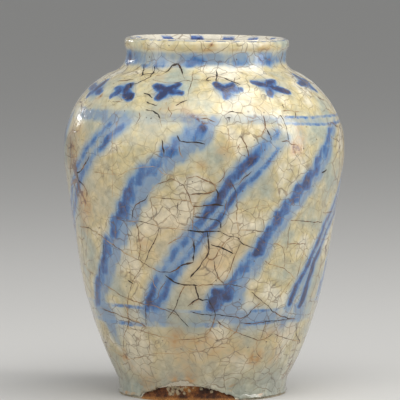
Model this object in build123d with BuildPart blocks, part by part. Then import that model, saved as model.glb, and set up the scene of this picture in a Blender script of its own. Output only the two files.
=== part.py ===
from build123d import *
from math import acos, asin, atan2, cos, degrees, hypot, radians, sin
import os

# A shouldered storage jar of pale fritware, painted in cobalt under a clear glaze.
# The body was thrown in three sections and set on a turned foot ring. Each joint is scored
# and keyed, and bonded with a layer of soft clay. A thin coat of white slip covers the outside,
# the blue brushwork lies on that coat, and clear glaze seals both faces.
# +Z is up. The origin is the middle of the foot's underside, and the front faces -Y.

# Outline of the glazed outside
HEIGHT = 260.0
BELLY_RADIUS = 102.5
SHOULDER_INSET = 41.5  # from the axis to the centre of the shoulder's curve
FLANK_LEAN = 9.0  # degrees from upright
FLANK_FOOT = 100.0  # height at which the straight flank starts to curve in
WAIST_RADIUS = 61.2
WAIST_HEIGHT = 9.9
TOE_RADIUS = 61.4
TOE_HEIGHT = 1.5
NECK_RADIUS = 58.5
NECK_LENGTH = 3.8  # the upright stretch between the two hollows
NECK_HOLLOW = 11.0
LIP_OVERHANG = 1.5
LIP_HOLLOW = 10.0

# Coats and walls
GLAZE = 0.7
PAINT = 0.2  # this layer is left free where nothing is painted
SLIP = 0.3
WALL = 7.0
INNER_GLAZE = 1.0
NECK_WALL = 6.5  # clay, coats and all
FLOOR = 10.0
FLOOR_ROUND = 22.0
THROAT_ROUND = 5.5
GLAZE_STOP = 1.2  # the coats end this far above the table

# Foot and seams
FOOT_WIDTH = 14.0
FOOT_DEPTH = 10.0
KEY_WIDTH = 3.0
KEY_HEIGHT = 2.5
LUTE = 0.8

# Bare patch at the front of the foot, where the coats were scraped away
BARE_WIDTH = 68.0
BARE_HEIGHT = 11.5
BARE_SHIFT = 10.0  # to the left of the middle

# Brushwork
LINE_WIDTH = 1.5
UPPER_BAND_TURN = 21.65  # degrees up the shoulder's curve, to the lower of two lines
UPPER_BAND_GAP = 8.0
LOWER_BAND_HEIGHT = 57.0
LOWER_BAND_GAP = 14.0
WASH_WIDTH = 11.0
STRIPE_PAIRS = 5
STRIPE_START = -2.0  # degrees from the front, at the top of the first stepped stripe
STRIPE_SWEEP = 61.0  # degrees round the jar, from top to bottom
STRIPE_MARGIN = 2.0  # between the stripes and the lines above and below them
DABS = 14
DAB_WIDTH = 11.0
DAB_LENGTH = 24.0
RULES = 7
RULE_WIDTH = 2.4
RULE_SPREAD = 7.0  # degrees between the two lines of a ruled stripe
FLORETS = 14
FLORET_START = 9.2  # degrees from the front
FLORET_RISE_SHARE = 0.485  # of the curve between the upper lines and the neck
FLORET_SPAN_SHARE = 0.582  # of the same stretch, from petal tip to petal tip
PETAL_WIDTH = 7.4
PETAL_LEAN = 42.0  # degrees either way from level

OVERRUN = 5.0  # how far a cut runs past what it cuts

# Places that follow from the sizes
mouth_radius = NECK_RADIUS - NECK_WALL
lip_roll = (NECK_WALL + LIP_OVERHANG) / 2
lip_centre = mouth_radius + lip_roll
lip_turn = degrees(acos((NECK_RADIUS + LIP_HOLLOW - lip_centre) / (lip_roll + LIP_HOLLOW)))
neck_top = HEIGHT - lip_roll - (lip_roll + LIP_HOLLOW) * sin(radians(lip_turn))
neck_root = neck_top - NECK_LENGTH
shoulder_arc = BELLY_RADIUS - SHOULDER_INSET
shoulder_turn = degrees(acos((NECK_RADIUS + NECK_HOLLOW - SHOULDER_INSET) / (shoulder_arc + NECK_HOLLOW)))
belly_height = neck_root - (shoulder_arc + NECK_HOLLOW) * sin(radians(shoulder_turn))
shoulder_end = Vector(shoulder_arc, 0).rotate(Axis.Z, shoulder_turn) + Vector(SHOULDER_INSET, belly_height)
coat = GLAZE + PAINT + SLIP
full_wall = coat + WALL + INNER_GLAZE
foot_bore = TOE_RADIUS - FOOT_WIDTH
reach = BELLY_RADIUS + OVERRUN
top = HEIGHT + OVERRUN


def arriving(start, heading, end):
    """The heading of an arc at its end, when it leaves its start along the given heading."""
    chord = (end - start).normalized()
    return chord * (2 * chord.dot(heading)) - heading


def outward(heading):
    """The outward normal of the jar's side, where the side runs down along the heading."""
    return Vector(-heading.Y, heading.X)


# The side below the belly runs down an upright arc, a straight flank, a long arc and a hollow toe.
flank_heading = Vector(0, -1).rotate(Axis.Z, -FLANK_LEAN)
flank_start = outward(flank_heading) * BELLY_RADIUS + Vector(0, belly_height)
flank_end = flank_start + flank_heading * ((flank_start.Y - FLANK_FOOT) / cos(radians(FLANK_LEAN)))
waist = Vector(WAIST_RADIUS, WAIST_HEIGHT)
waist_heading = arriving(flank_end, flank_heading, waist)
toe = Vector(TOE_RADIUS, TOE_HEIGHT)
toe_heading = arriving(waist, waist_heading, toe)


def inset(point, heading, depth):
    """A point of the side moved inwards, square to the side."""
    return point - outward(heading) * depth


def solid_jar(depth):
    """Half the section of the jar as if it were solid, depth under its glazed outside."""
    low = inset(toe, toe_heading, depth)
    middle = inset(waist, waist_heading, depth)
    high = inset(flank_end, flank_heading, depth)
    with BuildSketch() as section:
        with BuildLine():
            edge = Line((low.X, 0), low)
            edge = TangentArc(edge @ 1, middle, tangent=-toe_heading)
            edge = TangentArc(edge @ 1, high, tangent=-waist_heading)
            edge = Line(edge @ 1, inset(flank_start, flank_heading, depth))
            edge = JernArc(edge @ 1, edge % 1, BELLY_RADIUS - depth, FLANK_LEAN)
            edge = JernArc(edge @ 1, (0, 1), shoulder_arc - depth, shoulder_turn)
            edge = JernArc(edge @ 1, edge % 1, NECK_HOLLOW + depth, -shoulder_turn)
            edge = Line(edge @ 1, edge @ 1 + Vector(0, NECK_LENGTH))
            edge = JernArc(edge @ 1, (0, 1), LIP_HOLLOW + depth, -lip_turn)
            edge = JernArc(edge @ 1, edge % 1, lip_roll - depth, lip_turn + 90)
            Polyline(edge @ 1, (lip_centre, top), (0, top), (0, 0), (low.X, 0))
        make_face()
    return section.sketch


def hollow(cover):
    """Half the section of the space inside the jar, cover outside its glazed inner face."""
    inner_arc = shoulder_arc - full_wall
    throat_turn = degrees(acos((mouth_radius + THROAT_ROUND - SHOULDER_INSET) / (inner_arc + THROAT_ROUND)))
    throat_height = belly_height + (inner_arc + THROAT_ROUND) * sin(radians(throat_turn))
    depth = full_wall - cover
    high = inset(flank_end, flank_heading, depth)
    low = inset(waist, waist_heading, depth)
    floor = FOOT_DEPTH + FLOOR + INNER_GLAZE - cover
    with BuildSketch() as section:
        with BuildLine():
            edge = Line((lip_centre, top), (lip_centre, HEIGHT - cover))
            edge = JernArc(edge @ 1, (-1, 0), lip_roll - cover, 90)
            edge = Line(edge @ 1, (mouth_radius + cover, throat_height))
            edge = JernArc(edge @ 1, (0, -1), THROAT_ROUND - cover, throat_turn)
            edge = JernArc(edge @ 1, edge % 1, inner_arc + cover, -throat_turn)
            edge = JernArc(edge @ 1, (0, -1), BELLY_RADIUS - depth, -FLANK_LEAN)
            edge = Line(edge @ 1, high)
            edge = TangentArc(edge @ 1, low, tangent=flank_heading)
            Polyline(edge @ 1, (low.X, 0), (0, 0), (0, top), (lip_centre, top))
        make_face()
        with Locations((0, floor)):
            Rectangle(reach, floor, align=(Align.MIN, Align.MAX), mode=Mode.SUBTRACT)
        corner = section.vertices().group_by(Axis.Y)[0].sort_by(Axis.X)[-1]
        fillet(corner, FLOOR_ROUND - cover)
    return section.sketch


def under_seam(height, key_radius):
    """All that lies under a keyed seam: level, with a ridge round the middle of the wall."""
    flank = KEY_WIDTH / 2
    with BuildSketch() as region:
        with BuildLine():
            Polyline(
                (0, -OVERRUN),
                (reach, -OVERRUN),
                (reach, height),
                (key_radius + flank, height),
                (key_radius, height + KEY_HEIGHT),
                (key_radius - flank, height),
                (0, height),
                close=True,
            )
        make_face()
    return region.sketch


def coat_between(outer_depth, inner_depth):
    """The section of a coat on the outside, between two depths, which stops above the table."""
    with BuildSketch() as section:
        add(solid_jar(outer_depth))
        add(solid_jar(inner_depth), mode=Mode.SUBTRACT)
        with Locations((0, GLAZE_STOP)):
            Rectangle(reach, GLAZE_STOP + OVERRUN, align=(Align.MIN, Align.MAX), mode=Mode.SUBTRACT)
    return section.sketch


# The fired clay, before it is parted at the seams
with BuildSketch() as clay:
    add(solid_jar(coat))
    add(hollow(INNER_GLAZE), mode=Mode.SUBTRACT)
    Rectangle(foot_bore, FOOT_DEPTH, align=(Align.MIN, Align.MIN), mode=Mode.SUBTRACT)

foot_key = (foot_bore + WAIST_RADIUS - coat) / 2
belly_key = BELLY_RADIUS - coat - WALL / 2
neck_key = (mouth_radius + shoulder_end.X) / 2
foot_seam = under_seam(FOOT_DEPTH, foot_key)
foot_bond = under_seam(FOOT_DEPTH + LUTE, foot_key)
belly_seam = under_seam(belly_height, belly_key)
belly_bond = under_seam(belly_height + LUTE, belly_key)
neck_seam = under_seam(shoulder_end.Y, neck_key)
neck_bond = under_seam(shoulder_end.Y + LUTE, neck_key)


def clay_between(under, over):
    """The part of the clay's section that lies over one seam and under another."""
    with BuildSketch() as section:
        add(clay.sketch)
        add(over, mode=Mode.INTERSECT)
        if under:
            add(under, mode=Mode.SUBTRACT)
    return section.sketch


# Turned foot ring, with the ridge that keys it to the bowl
with BuildPart() as foot_ring:
    with BuildSketch(Plane.XZ):
        add(clay_between(None, foot_seam))
    revolve(axis=Axis.Z)

# Soft clay that bonds the foot ring to the bowl
with BuildPart() as foot_lute:
    with BuildSketch(Plane.XZ):
        add(clay_between(foot_seam, foot_bond))
    revolve(axis=Axis.Z)

# Thrown bowl: the floor and the flank, up to the widest level
with BuildPart() as lower_body:
    with BuildSketch(Plane.XZ):
        add(clay_between(foot_bond, belly_seam))
    revolve(axis=Axis.Z)

# Soft clay in the joint at the widest level
with BuildPart() as belly_lute:
    with BuildSketch(Plane.XZ):
        add(clay_between(belly_seam, belly_bond))
    revolve(axis=Axis.Z)

# Thrown shoulder, set upside down on the bowl and turned when firm
with BuildPart() as upper_body:
    with BuildSketch(Plane.XZ):
        add(clay_between(belly_bond, neck_seam))
    revolve(axis=Axis.Z)

# Soft clay under the neck
with BuildPart() as neck_lute:
    with BuildSketch(Plane.XZ):
        add(clay_between(neck_seam, neck_bond))
    revolve(axis=Axis.Z)

# Neck with its rolled lip
with BuildPart() as neck_collar:
    with BuildSketch(Plane.XZ):
        add(clay.sketch)
        add(neck_bond, mode=Mode.SUBTRACT)
    revolve(axis=Axis.Z)

# Clear glaze that was poured round the inside, up to the top of the lip
with BuildPart() as inner_glaze:
    with BuildSketch(Plane.XZ):
        add(hollow(INNER_GLAZE))
        add(hollow(0), mode=Mode.SUBTRACT)
    revolve(axis=Axis.Z)


def scrape_foot():
    """The tool that scrapes the coats off the front of the foot."""
    with BuildPart() as scraper:
        with BuildSketch(Plane.XZ):
            with Locations((-BARE_SHIFT, 0)):
                Ellipse(BARE_WIDTH / 2, BARE_HEIGHT)
        extrude(amount=reach)
    return scraper.part


# Clear glaze over the slip and the paint, from the foot to the top of the lip
with BuildPart() as outer_glaze:
    with BuildSketch(Plane.XZ):
        add(coat_between(0, GLAZE))
    revolve(axis=Axis.Z)
    add(scrape_foot(), mode=Mode.SUBTRACT)

# Blue lines turned on the wheel: a wash round the neck, and a pair of lines above and below the stripes
upper_band_height = belly_height + shoulder_arc * sin(radians(UPPER_BAND_TURN))
line_heights = [
    LOWER_BAND_HEIGHT,
    LOWER_BAND_HEIGHT + LOWER_BAND_GAP,
    upper_band_height,
    upper_band_height + UPPER_BAND_GAP,
]
with BuildSketch() as band_section:
    add(coat_between(GLAZE, GLAZE + PAINT))
    with BuildSketch(mode=Mode.INTERSECT):
        with Locations(*[(0, height) for height in line_heights]):
            Rectangle(reach, LINE_WIDTH, align=(Align.MIN, Align.CENTER))
        with Locations((0, neck_root + NECK_LENGTH / 2)):
            Rectangle(reach, WASH_WIDTH, align=(Align.MIN, Align.CENTER))

with BuildPart() as cobalt_bands:
    with BuildSketch(Plane.XZ):
        add(band_section.sketch)
    revolve(axis=Axis.Z)


def facing(azimuth, height):
    """An upright plane inside the jar, which faces outwards at an azimuth from the front."""
    turn = radians(azimuth)
    out = Vector(sin(turn), -cos(turn), 0)
    return Plane(origin=out * mouth_radius + Vector(0, 0, height), x_dir=(cos(turn), sin(turn), 0), z_dir=out)


# White slip coat over the clay, on the outside
with BuildPart() as white_slip:
    with BuildSketch(Plane.XZ):
        add(coat_between(GLAZE + PAINT, coat))
    revolve(axis=Axis.Z)
    add(scrape_foot(), mode=Mode.SUBTRACT)

# The layer between slip and glaze in which the brushwork lies
with BuildPart() as paint_layer:
    with BuildSketch(Plane.XZ):
        add(coat_between(GLAZE, GLAZE + PAINT))
    revolve(axis=Axis.Z)

field_top = upper_band_height - LINE_WIDTH / 2 - STRIPE_MARGIN
field_foot = LOWER_BAND_HEIGHT + LOWER_BAND_GAP + LINE_WIDTH / 2 + STRIPE_MARGIN
stripe_pitch = 360 / (2 * STRIPE_PAIRS)

# The brush marks of one stepped stripe: upright dabs, each lower and further to the left
dab_drop = field_top - field_foot - DAB_LENGTH
with BuildPart() as stepped_marks:
    for dab in range(DABS):
        share = dab / (DABS - 1)
        height = field_top - DAB_LENGTH / 2 - share * dab_drop
        with BuildSketch(facing(STRIPE_START - share * STRIPE_SWEEP, height)):
            Rectangle(DAB_WIDTH, DAB_LENGTH)
        extrude(amount=reach)

# Stepped stripes: the paint of those marks
with BuildPart() as stepped_stripe:
    add(paint_layer.part)
    add(stepped_marks.part, mode=Mode.INTERSECT)

with BuildPart() as cobalt_stepped_stripes:
    with PolarLocations(0, STRIPE_PAIRS):
        add(stepped_stripe.part)


def side_radius(height):
    """How far the painted face lies from the axis at a height."""
    with BuildSketch() as strip:
        add(solid_jar(GLAZE))
        with Locations((0, height)):
            Rectangle(reach, LINE_WIDTH, align=(Align.MIN, Align.CENTER), mode=Mode.INTERSECT)
    return strip.sketch.bounding_box().max.X


# The brush marks of one ruled stripe: two thin lines side by side, each a run of short strokes
stroke_drop = (field_top - field_foot) / RULES
stroke_sweep = STRIPE_SWEEP / RULES
with BuildPart() as ruled_marks:
    for stroke in range(RULES):
        height = field_top - (stroke + 0.5) * stroke_drop
        stroke_run = 2 * side_radius(height) * sin(radians(stroke_sweep / 2))
        lean = degrees(atan2(stroke_drop, stroke_run))
        for side in (-0.5, 0.5):
            azimuth = STRIPE_START + stripe_pitch + side * RULE_SPREAD - (stroke + 0.5) * stroke_sweep
            with BuildSketch(facing(azimuth, height)):
                SlotCenterToCenter(hypot(stroke_run, stroke_drop), RULE_WIDTH, rotation=lean)
            extrude(amount=reach)

# Ruled stripes: the paint of those marks
with BuildPart() as ruled_stripe:
    add(paint_layer.part)
    add(ruled_marks.part, mode=Mode.INTERSECT)

with BuildPart() as cobalt_ruled_stripes:
    with PolarLocations(0, STRIPE_PAIRS):
        add(ruled_stripe.part)

# The brush marks of one floret: two short strokes crossed, square to the shoulder's curve
upright = facing(FLORET_START, belly_height)
lines_turn = degrees(asin((upper_band_height + UPPER_BAND_GAP - belly_height) / shoulder_arc))
tilt = radians(lines_turn + FLORET_RISE_SHARE * (shoulder_turn - lines_turn))
floret_span = FLORET_SPAN_SHARE * shoulder_arc * radians(shoulder_turn - lines_turn)
with BuildPart() as floret_marks:
    with BuildSketch(
        Plane(
            origin=upright.z_dir * SHOULDER_INSET + Vector(0, 0, belly_height),
            x_dir=upright.x_dir,
            z_dir=upright.z_dir * cos(tilt) + Vector(0, 0, sin(tilt)),
        )
    ):
        SlotOverall(floret_span, PETAL_WIDTH, rotation=PETAL_LEAN)
        SlotOverall(floret_span, PETAL_WIDTH, rotation=-PETAL_LEAN)
    extrude(amount=shoulder_arc + OVERRUN)

# Florets: the paint of those marks
with BuildPart() as floret:
    add(paint_layer.part)
    add(floret_marks.part, mode=Mode.INTERSECT)

with BuildPart() as cobalt_florets:
    with PolarLocations(0, FLORETS):
        add(floret.part)

pieces = {
    "foot_ring": foot_ring,
    "foot_lute": foot_lute,
    "lower_body": lower_body,
    "belly_lute": belly_lute,
    "upper_body": upper_body,
    "neck_lute": neck_lute,
    "neck_collar": neck_collar,
    "white_slip": white_slip,
    "cobalt_bands": cobalt_bands,
    "cobalt_stepped_stripes": cobalt_stepped_stripes,
    "cobalt_ruled_stripes": cobalt_ruled_stripes,
    "cobalt_florets": cobalt_florets,
    "outer_glaze": outer_glaze,
    "inner_glaze": inner_glaze,
}
os.makedirs("parts", exist_ok=True)
for name, piece in pieces.items():
    piece.part.label = name
    export_step(piece.part, f"parts/{name}.step")
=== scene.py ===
import math

import bmesh
import bpy
import numpy as np
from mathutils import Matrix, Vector


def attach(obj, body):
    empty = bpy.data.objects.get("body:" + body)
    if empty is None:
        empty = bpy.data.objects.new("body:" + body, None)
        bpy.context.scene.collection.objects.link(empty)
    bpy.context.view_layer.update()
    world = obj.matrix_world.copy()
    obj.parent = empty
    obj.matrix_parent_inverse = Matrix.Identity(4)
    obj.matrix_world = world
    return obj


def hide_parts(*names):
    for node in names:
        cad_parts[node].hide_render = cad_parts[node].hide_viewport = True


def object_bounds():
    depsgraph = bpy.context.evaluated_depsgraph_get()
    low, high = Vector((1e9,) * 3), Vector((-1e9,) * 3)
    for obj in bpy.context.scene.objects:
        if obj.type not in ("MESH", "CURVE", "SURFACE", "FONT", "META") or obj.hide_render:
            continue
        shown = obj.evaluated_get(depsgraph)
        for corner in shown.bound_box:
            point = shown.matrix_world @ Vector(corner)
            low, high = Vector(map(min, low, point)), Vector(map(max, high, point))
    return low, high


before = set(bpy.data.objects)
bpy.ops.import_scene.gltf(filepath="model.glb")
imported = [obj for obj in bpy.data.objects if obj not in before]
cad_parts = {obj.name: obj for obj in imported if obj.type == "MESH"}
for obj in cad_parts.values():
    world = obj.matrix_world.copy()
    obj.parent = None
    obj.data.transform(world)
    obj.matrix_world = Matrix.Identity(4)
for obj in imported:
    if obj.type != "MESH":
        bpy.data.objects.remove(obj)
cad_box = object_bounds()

# The room: a pale matt floor under a plain pale sky. The jar stands at eye level, nearly three metres
# from a long lens, so its outline shows almost without perspective. Sizes are in millimetres throughout.
MM = 0.001
EYE = np.array([0.0, -2930.0, 367.0])
PITCH = math.radians(4.41)
LENS = 361.5
SENSOR = 36.0
PHOTO_SIZE = 400
AXIS_PX = 203.6  # the photo's column in which the jar's axis stands


def placed(name, data):
    """A new object that stands in the scene."""
    made = bpy.data.objects.new(name, data)
    bpy.context.scene.collection.objects.link(made)
    return made


camera = placed("camera", bpy.data.cameras.new("camera"))
camera.location = EYE * MM
camera.rotation_euler = (math.pi / 2 - PITCH, 0, 0)
camera.data.lens = LENS
camera.data.sensor_width = SENSOR
camera.data.shift_x = (PHOTO_SIZE / 2 - AXIS_PX) / PHOTO_SIZE
camera.data.clip_end = 60
bpy.context.scene.camera = camera
bpy.context.scene.view_settings.view_transform = "Standard"


def linear(colour):
    """An sRGB hex colour in linear light: c / 12.92 when dark, otherwise ((c + 0.055) / 1.055) to the 2.4."""
    c = np.array([int(colour[at:at + 2], 16) for at in (1, 3, 5)]) / 255
    return (*np.where(c <= 0.04045, c / 12.92, ((c + 0.055) / 1.055) ** 2.4), 1.0)


def add(tree, kind, *values, named=None, stops=None, out=None, **settings):
    """Adds a node with its settings, and fills its sockets in order, or by name, with values or links."""
    made = tree.nodes.new("ShaderNode" + kind)
    for name, value in settings.items():
        setattr(made, name, value)
    if stops:
        ramp = made.color_ramp.elements
        while len(ramp) < len(stops):
            ramp.new(1.0)
        for element, (at, colour) in zip(ramp, stops):
            element.position = at
            element.color = linear(colour)
    sockets = [socket for socket in made.inputs if socket.enabled]
    chosen = [next(s for s in sockets if s.name == name) for name in named or {}]
    for socket, value in [*zip(sockets, values), *zip(chosen, (named or {}).values())]:
        if isinstance(value, bpy.types.NodeSocket):
            tree.links.new(value, socket)
        elif value is not None:
            socket.default_value = value
    return made.outputs[out] if out else next((s for s in made.outputs if s.enabled), None)


def finish_named(name):
    """A new empty material and its node tree."""
    material = bpy.data.materials.new(name)
    material.use_nodes = True
    material.node_tree.nodes.clear()
    return material, material.node_tree


world = bpy.data.worlds.new("pale_studio")
world.use_nodes = True
world.node_tree.nodes.clear()
SKY = 0.38
add(world.node_tree, "OutputWorld", add(world.node_tree, "Background", linear("#F4F6F8"), SKY))
bpy.context.scene.world = world

FLOOR_RADIUS = 17000.0
floor_paint, tree = finish_named("pale_matt_floor")
add(tree, "OutputMaterial", add(tree, "BsdfPrincipled", linear("#CDCBC7"), named={"Roughness": 0.9}))
turns = np.linspace(0, 2 * np.pi, 96, endpoint=False)
rim = np.stack([np.cos(turns), np.sin(turns), 0 * turns], -1) * FLOOR_RADIUS * MM
floor_mesh = bpy.data.meshes.new("floor")
floor_mesh.from_pydata(rim.tolist(), [], [list(range(len(rim)))])
floor_mesh.materials.append(floor_paint)
floor = placed("floor", floor_mesh)

# Soft boxes. The first hangs high at the right and lights the shoulder, and the second is the broad pale
# reflection on the left shoulder. The third is a soft streak down the right side. The last stands behind on
# the left and gives the bright streak at the jar's left edge.
JAR_MIDDLE = np.array([0.0, 0.0, 150.0])
LAMPS = {  # azimuth from the camera's side (+ to the right), elevation, distance, width, height, watts
    "high_box": (42, 62, 2000, 2600, 1800, 35.0),
    "soft_box": (-48, 26, 1600, 2300, 1000, 10.5),
    "right_strip": (78, 20, 1500, 380, 1300, 7.5),
    "left_lamp": (-135, 15, 1500, 230, 130, 0.8),
}
for name, (azimuth, elevation, away, width, height, watts) in LAMPS.items():
    lamp = placed(name, bpy.data.lights.new(name, "AREA"))
    a, e = math.radians(azimuth), math.radians(elevation)
    towards = Vector((math.sin(a) * math.cos(e), -math.cos(a) * math.cos(e), math.sin(e)))
    lamp.location = Vector(JAR_MIDDLE * MM) + towards * away * MM
    lamp.rotation_euler = towards.to_track_quat("Z", "Y").to_euler()
    lamp.data.shape = "RECTANGLE"
    lamp.data.size = width * MM
    lamp.data.size_y = height * MM
    lamp.data.energy = watts
    lamp.visible_camera = False

# The foot ring: fritware, a gritty white-bodied clay that fires rusty brown where it is bare. It was turned
# on the wheel and keyed to the bowl. The potter's tool and a kiln prop left its front torn and crumbly.
HEIGHT = cad_box[1].z / MM
BELLY_RADIUS = cad_box[1].x / MM
SHOULDER_INSET = 41.5
FLANK_LEAN = 9.0
FLANK_FOOT = 100.0
WAIST = (61.2, 9.9)
TOE = (61.4, 1.5)
NECK_RADIUS = 58.5
NECK_LENGTH = 3.8
NECK_HOLLOW = 11.0
LIP_ROLL = 4.0
LIP_CENTRE = 56.0
LIP_HOLLOW = 10.0


def walk(place, heading, moves, step=0.25):
    """An outline as points (radius, height), `step` mm apart. A run goes straight on. A bend has a radius and
    a turn: its point at a share t of the turn lies 2 r sin(t turn / 2) away, at the heading plus half that
    turn. A reach is the bend that leaves along the heading and ends at a point: it turns by twice the angle
    from the heading to the chord."""
    place = np.array(place, float)
    heading = math.radians(heading)
    points = [place[None]]
    for kind, size, *turn in moves:
        if kind == "reach":
            chord = np.array(size) - place
            half = math.remainder(math.atan2(chord[1], chord[0]) - heading, 2 * math.pi)
            turn = 2 * half
            size = math.hypot(*chord) / (2 * math.sin(abs(half)))
        else:
            turn = math.radians(turn[0]) if turn else 0.0
        length = size * (abs(turn) if turn else 1)
        share = np.linspace(0, 1, max(3, round(length / step)))[1:]
        chord = 2 * size * np.sin(abs(turn) * share / 2) if turn else size * share
        aim = heading + turn * share / 2
        points.append(place + chord[:, None] * np.stack([np.cos(aim), np.sin(aim)], -1))
        place = points[-1][-1]
        heading += turn
    return np.concatenate(points)


shoulder_arc = BELLY_RADIUS - SHOULDER_INSET
lip_reach = NECK_RADIUS + LIP_HOLLOW - LIP_CENTRE
neck_reach = NECK_RADIUS + NECK_HOLLOW - SHOULDER_INSET
lip_turn = math.degrees(math.acos(lip_reach / (LIP_ROLL + LIP_HOLLOW)))
shoulder_turn = math.degrees(math.acos(neck_reach / (shoulder_arc + NECK_HOLLOW)))
neck_root = HEIGHT - LIP_ROLL - (LIP_ROLL + LIP_HOLLOW) * math.sin(math.radians(lip_turn)) - NECK_LENGTH
belly_height = neck_root - (shoulder_arc + NECK_HOLLOW) * math.sin(math.radians(shoulder_turn))
flank_top = belly_height - BELLY_RADIUS * math.sin(math.radians(FLANK_LEAN))
flank_run = (flank_top - FLANK_FOOT) / math.cos(math.radians(FLANK_LEAN))
outline = walk((LIP_CENTRE, HEIGHT), 0, [
    ("bend", LIP_ROLL, -90 - lip_turn),
    ("bend", LIP_HOLLOW, lip_turn),
    ("run", NECK_LENGTH),
    ("bend", NECK_HOLLOW, shoulder_turn),
    ("bend", shoulder_arc, -shoulder_turn),
    ("bend", BELLY_RADIUS, -FLANK_LEAN),
    ("run", flank_run),
    ("reach", WAIST),
    ("reach", TOE),
    ("run", TOE[1]),
])
outline_run = np.concatenate([[0], np.cumsum(np.hypot(*np.diff(outline, axis=0).T))])
outline_heading = np.gradient(outline, outline_run, axis=0)

# The jar leans a little: the neck was set slightly to one side, and the rim sinks to the right.
LEAN = {0: -0.9, 8: -0.9, 20: -0.3, 100: -0.3, 180: 0.4, 225: -0.1, 235: 0.1, 247: 2.0, 260: 2.6}
RIM_SINK = 0.75
RIM_FROM = 244.0


def leaning(z):
    """How far to the right the jar's axis stands at a height."""
    return np.interp(z, list(LEAN), list(LEAN.values()))


def lean(x, y, z):
    """Points of the upright jar, shifted sideways by height, and lowered at the rim towards the right."""
    tilt = np.clip((z - RIM_FROM) / (HEIGHT - RIM_FROM), 0, 1)
    drop = RIM_SINK * (1 + x / NECK_RADIUS) * tilt
    return np.stack([x + leaning(z), y, z - drop], -1)


def side(azimuth, run, depth):
    """The jar's side: the outline `run` mm down from the crest of the lip, `depth` mm in, square to it, and
    turned to the azimuth, which is 0 at the front and grows to the right."""
    tables = (*outline.T, outline_heading[:, 0], -outline_heading[:, 1])
    radius, height, out_z, out_r = (np.interp(run, outline_run, values) for values in tables)
    radius = radius - out_r * depth
    return lean(radius * np.sin(azimuth), -radius * np.cos(azimuth), height - out_z * depth)


def run_at(height):
    """How far down the outline a height lies."""
    return np.interp(-np.asarray(height, float), -outline[:, 1], outline_run)


def waves(azimuth, run, length, seed, count=20):
    """Smooth random relief, mostly within -1 to 1: a sum of cosine waves about `length` mm long. Each has a
    whole number of crests round the jar, so that the relief closes on itself."""
    draw = np.random.default_rng(seed)
    slants, phases, stretches = draw.uniform([[0], [0], [0.7]], [[np.pi], [2 * np.pi], [1.5]], (3, count))
    total = 0
    for slant, phase, long in zip(slants, phases, length * stretches):
        crests = round(2 * math.pi * BELLY_RADIUS * 0.85 / long * math.cos(slant))
        total = total + np.cos(crests * azimuth + 2 * math.pi * math.sin(slant) / long * run + phase)
    return total / math.sqrt(count)


def shell(name, grid, ring=True):
    """A closed mesh on a grid of points (rows, columns, 3) in mm. Columns close round the axis. The rows
    close on themselves in a ring, or end in one point each. Faces turn over if the volume comes out
    negative: it is a sixth of the sum, over the triangles, of one corner dotted into the cross of the
    other two."""
    rows, columns = grid.shape[:2]
    index = np.arange(rows * columns).reshape(rows, columns)
    if not ring:
        index[0] = index[0, 0]
        index[-1] = index[-1, 0]
    lower = np.roll(index, -1, 0) if ring else index[1:]
    upper = index if ring else index[:-1]
    quads = np.stack([upper, lower, np.roll(lower, -1, 1), np.roll(upper, -1, 1)], -1).reshape(-1, 4)
    corners = grid.reshape(-1, 3)[quads]
    volume = np.einsum("ij,ij->", corners[:, 0], np.cross(corners[:, 1], corners[:, 2]))
    volume += np.einsum("ij,ij->", corners[:, 0], np.cross(corners[:, 2], corners[:, 3]))
    if volume < 0:
        quads = quads[:, ::-1]
    faces = [list(dict.fromkeys(quad)) for quad in quads.tolist()]
    mesh = bpy.data.meshes.new(name)
    mesh.from_pydata((grid.reshape(-1, 3) * MM).tolist(), [], faces)
    mesh.validate()
    mesh.shade_smooth()
    mesh.set_sharp_from_angle(angle=math.radians(50))
    return placed(name, mesh)


def note(piece, name, values):
    """Keeps a number for every point of the mesh, for its finish to read."""
    layer = piece.data.attributes.new(name, "FLOAT", "POINT")
    layer.data.foreach_set("value", np.ascontiguousarray(values, np.float32).ravel())


FOCAL_PX = LENS / SENSOR * PHOTO_SIZE


def on_jar(pixels):
    """Where rays of the camera through pixels of the photo meet the jar, as azimuths and runs. Each ray is
    followed through the jar's near side in small steps, and the first step inside the outline counts."""
    x, y = np.array(pixels, float).T
    ray = np.array([0, math.cos(PITCH), -math.sin(PITCH)]) + np.outer((x - AXIS_PX) / FOCAL_PX, [1, 0, 0])
    ray -= np.outer((y - PHOTO_SIZE / 2) / FOCAL_PX, [0, math.sin(PITCH), math.cos(PITCH)])
    reach = np.arange(-EYE[1] - 1.2 * BELLY_RADIUS, -EYE[1] + 0.4 * BELLY_RADIUS, 0.25)
    px, py, pz = np.moveaxis(EYE + ray[:, None] * reach[:, None], -1, 0)
    px = px - leaning(pz)
    radius = np.interp(-pz, -outline[:, 1], outline[:, 0], left=0, right=0)
    first = np.argmax(np.hypot(px, py) < radius, axis=1)
    at = np.arange(len(x)), first
    return np.arctan2(px[at], -py[at]), run_at(pz[at])


def turned(profile, azimuths):
    """A profile (radius, height) in mm, turned round the axis to some azimuths, and leaned."""
    levels = np.repeat(profile[:, 1:], len(azimuths), 1)
    return lean(profile[:, :1] * np.sin(azimuths), -profile[:, :1] * np.cos(azimuths), levels)


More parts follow.
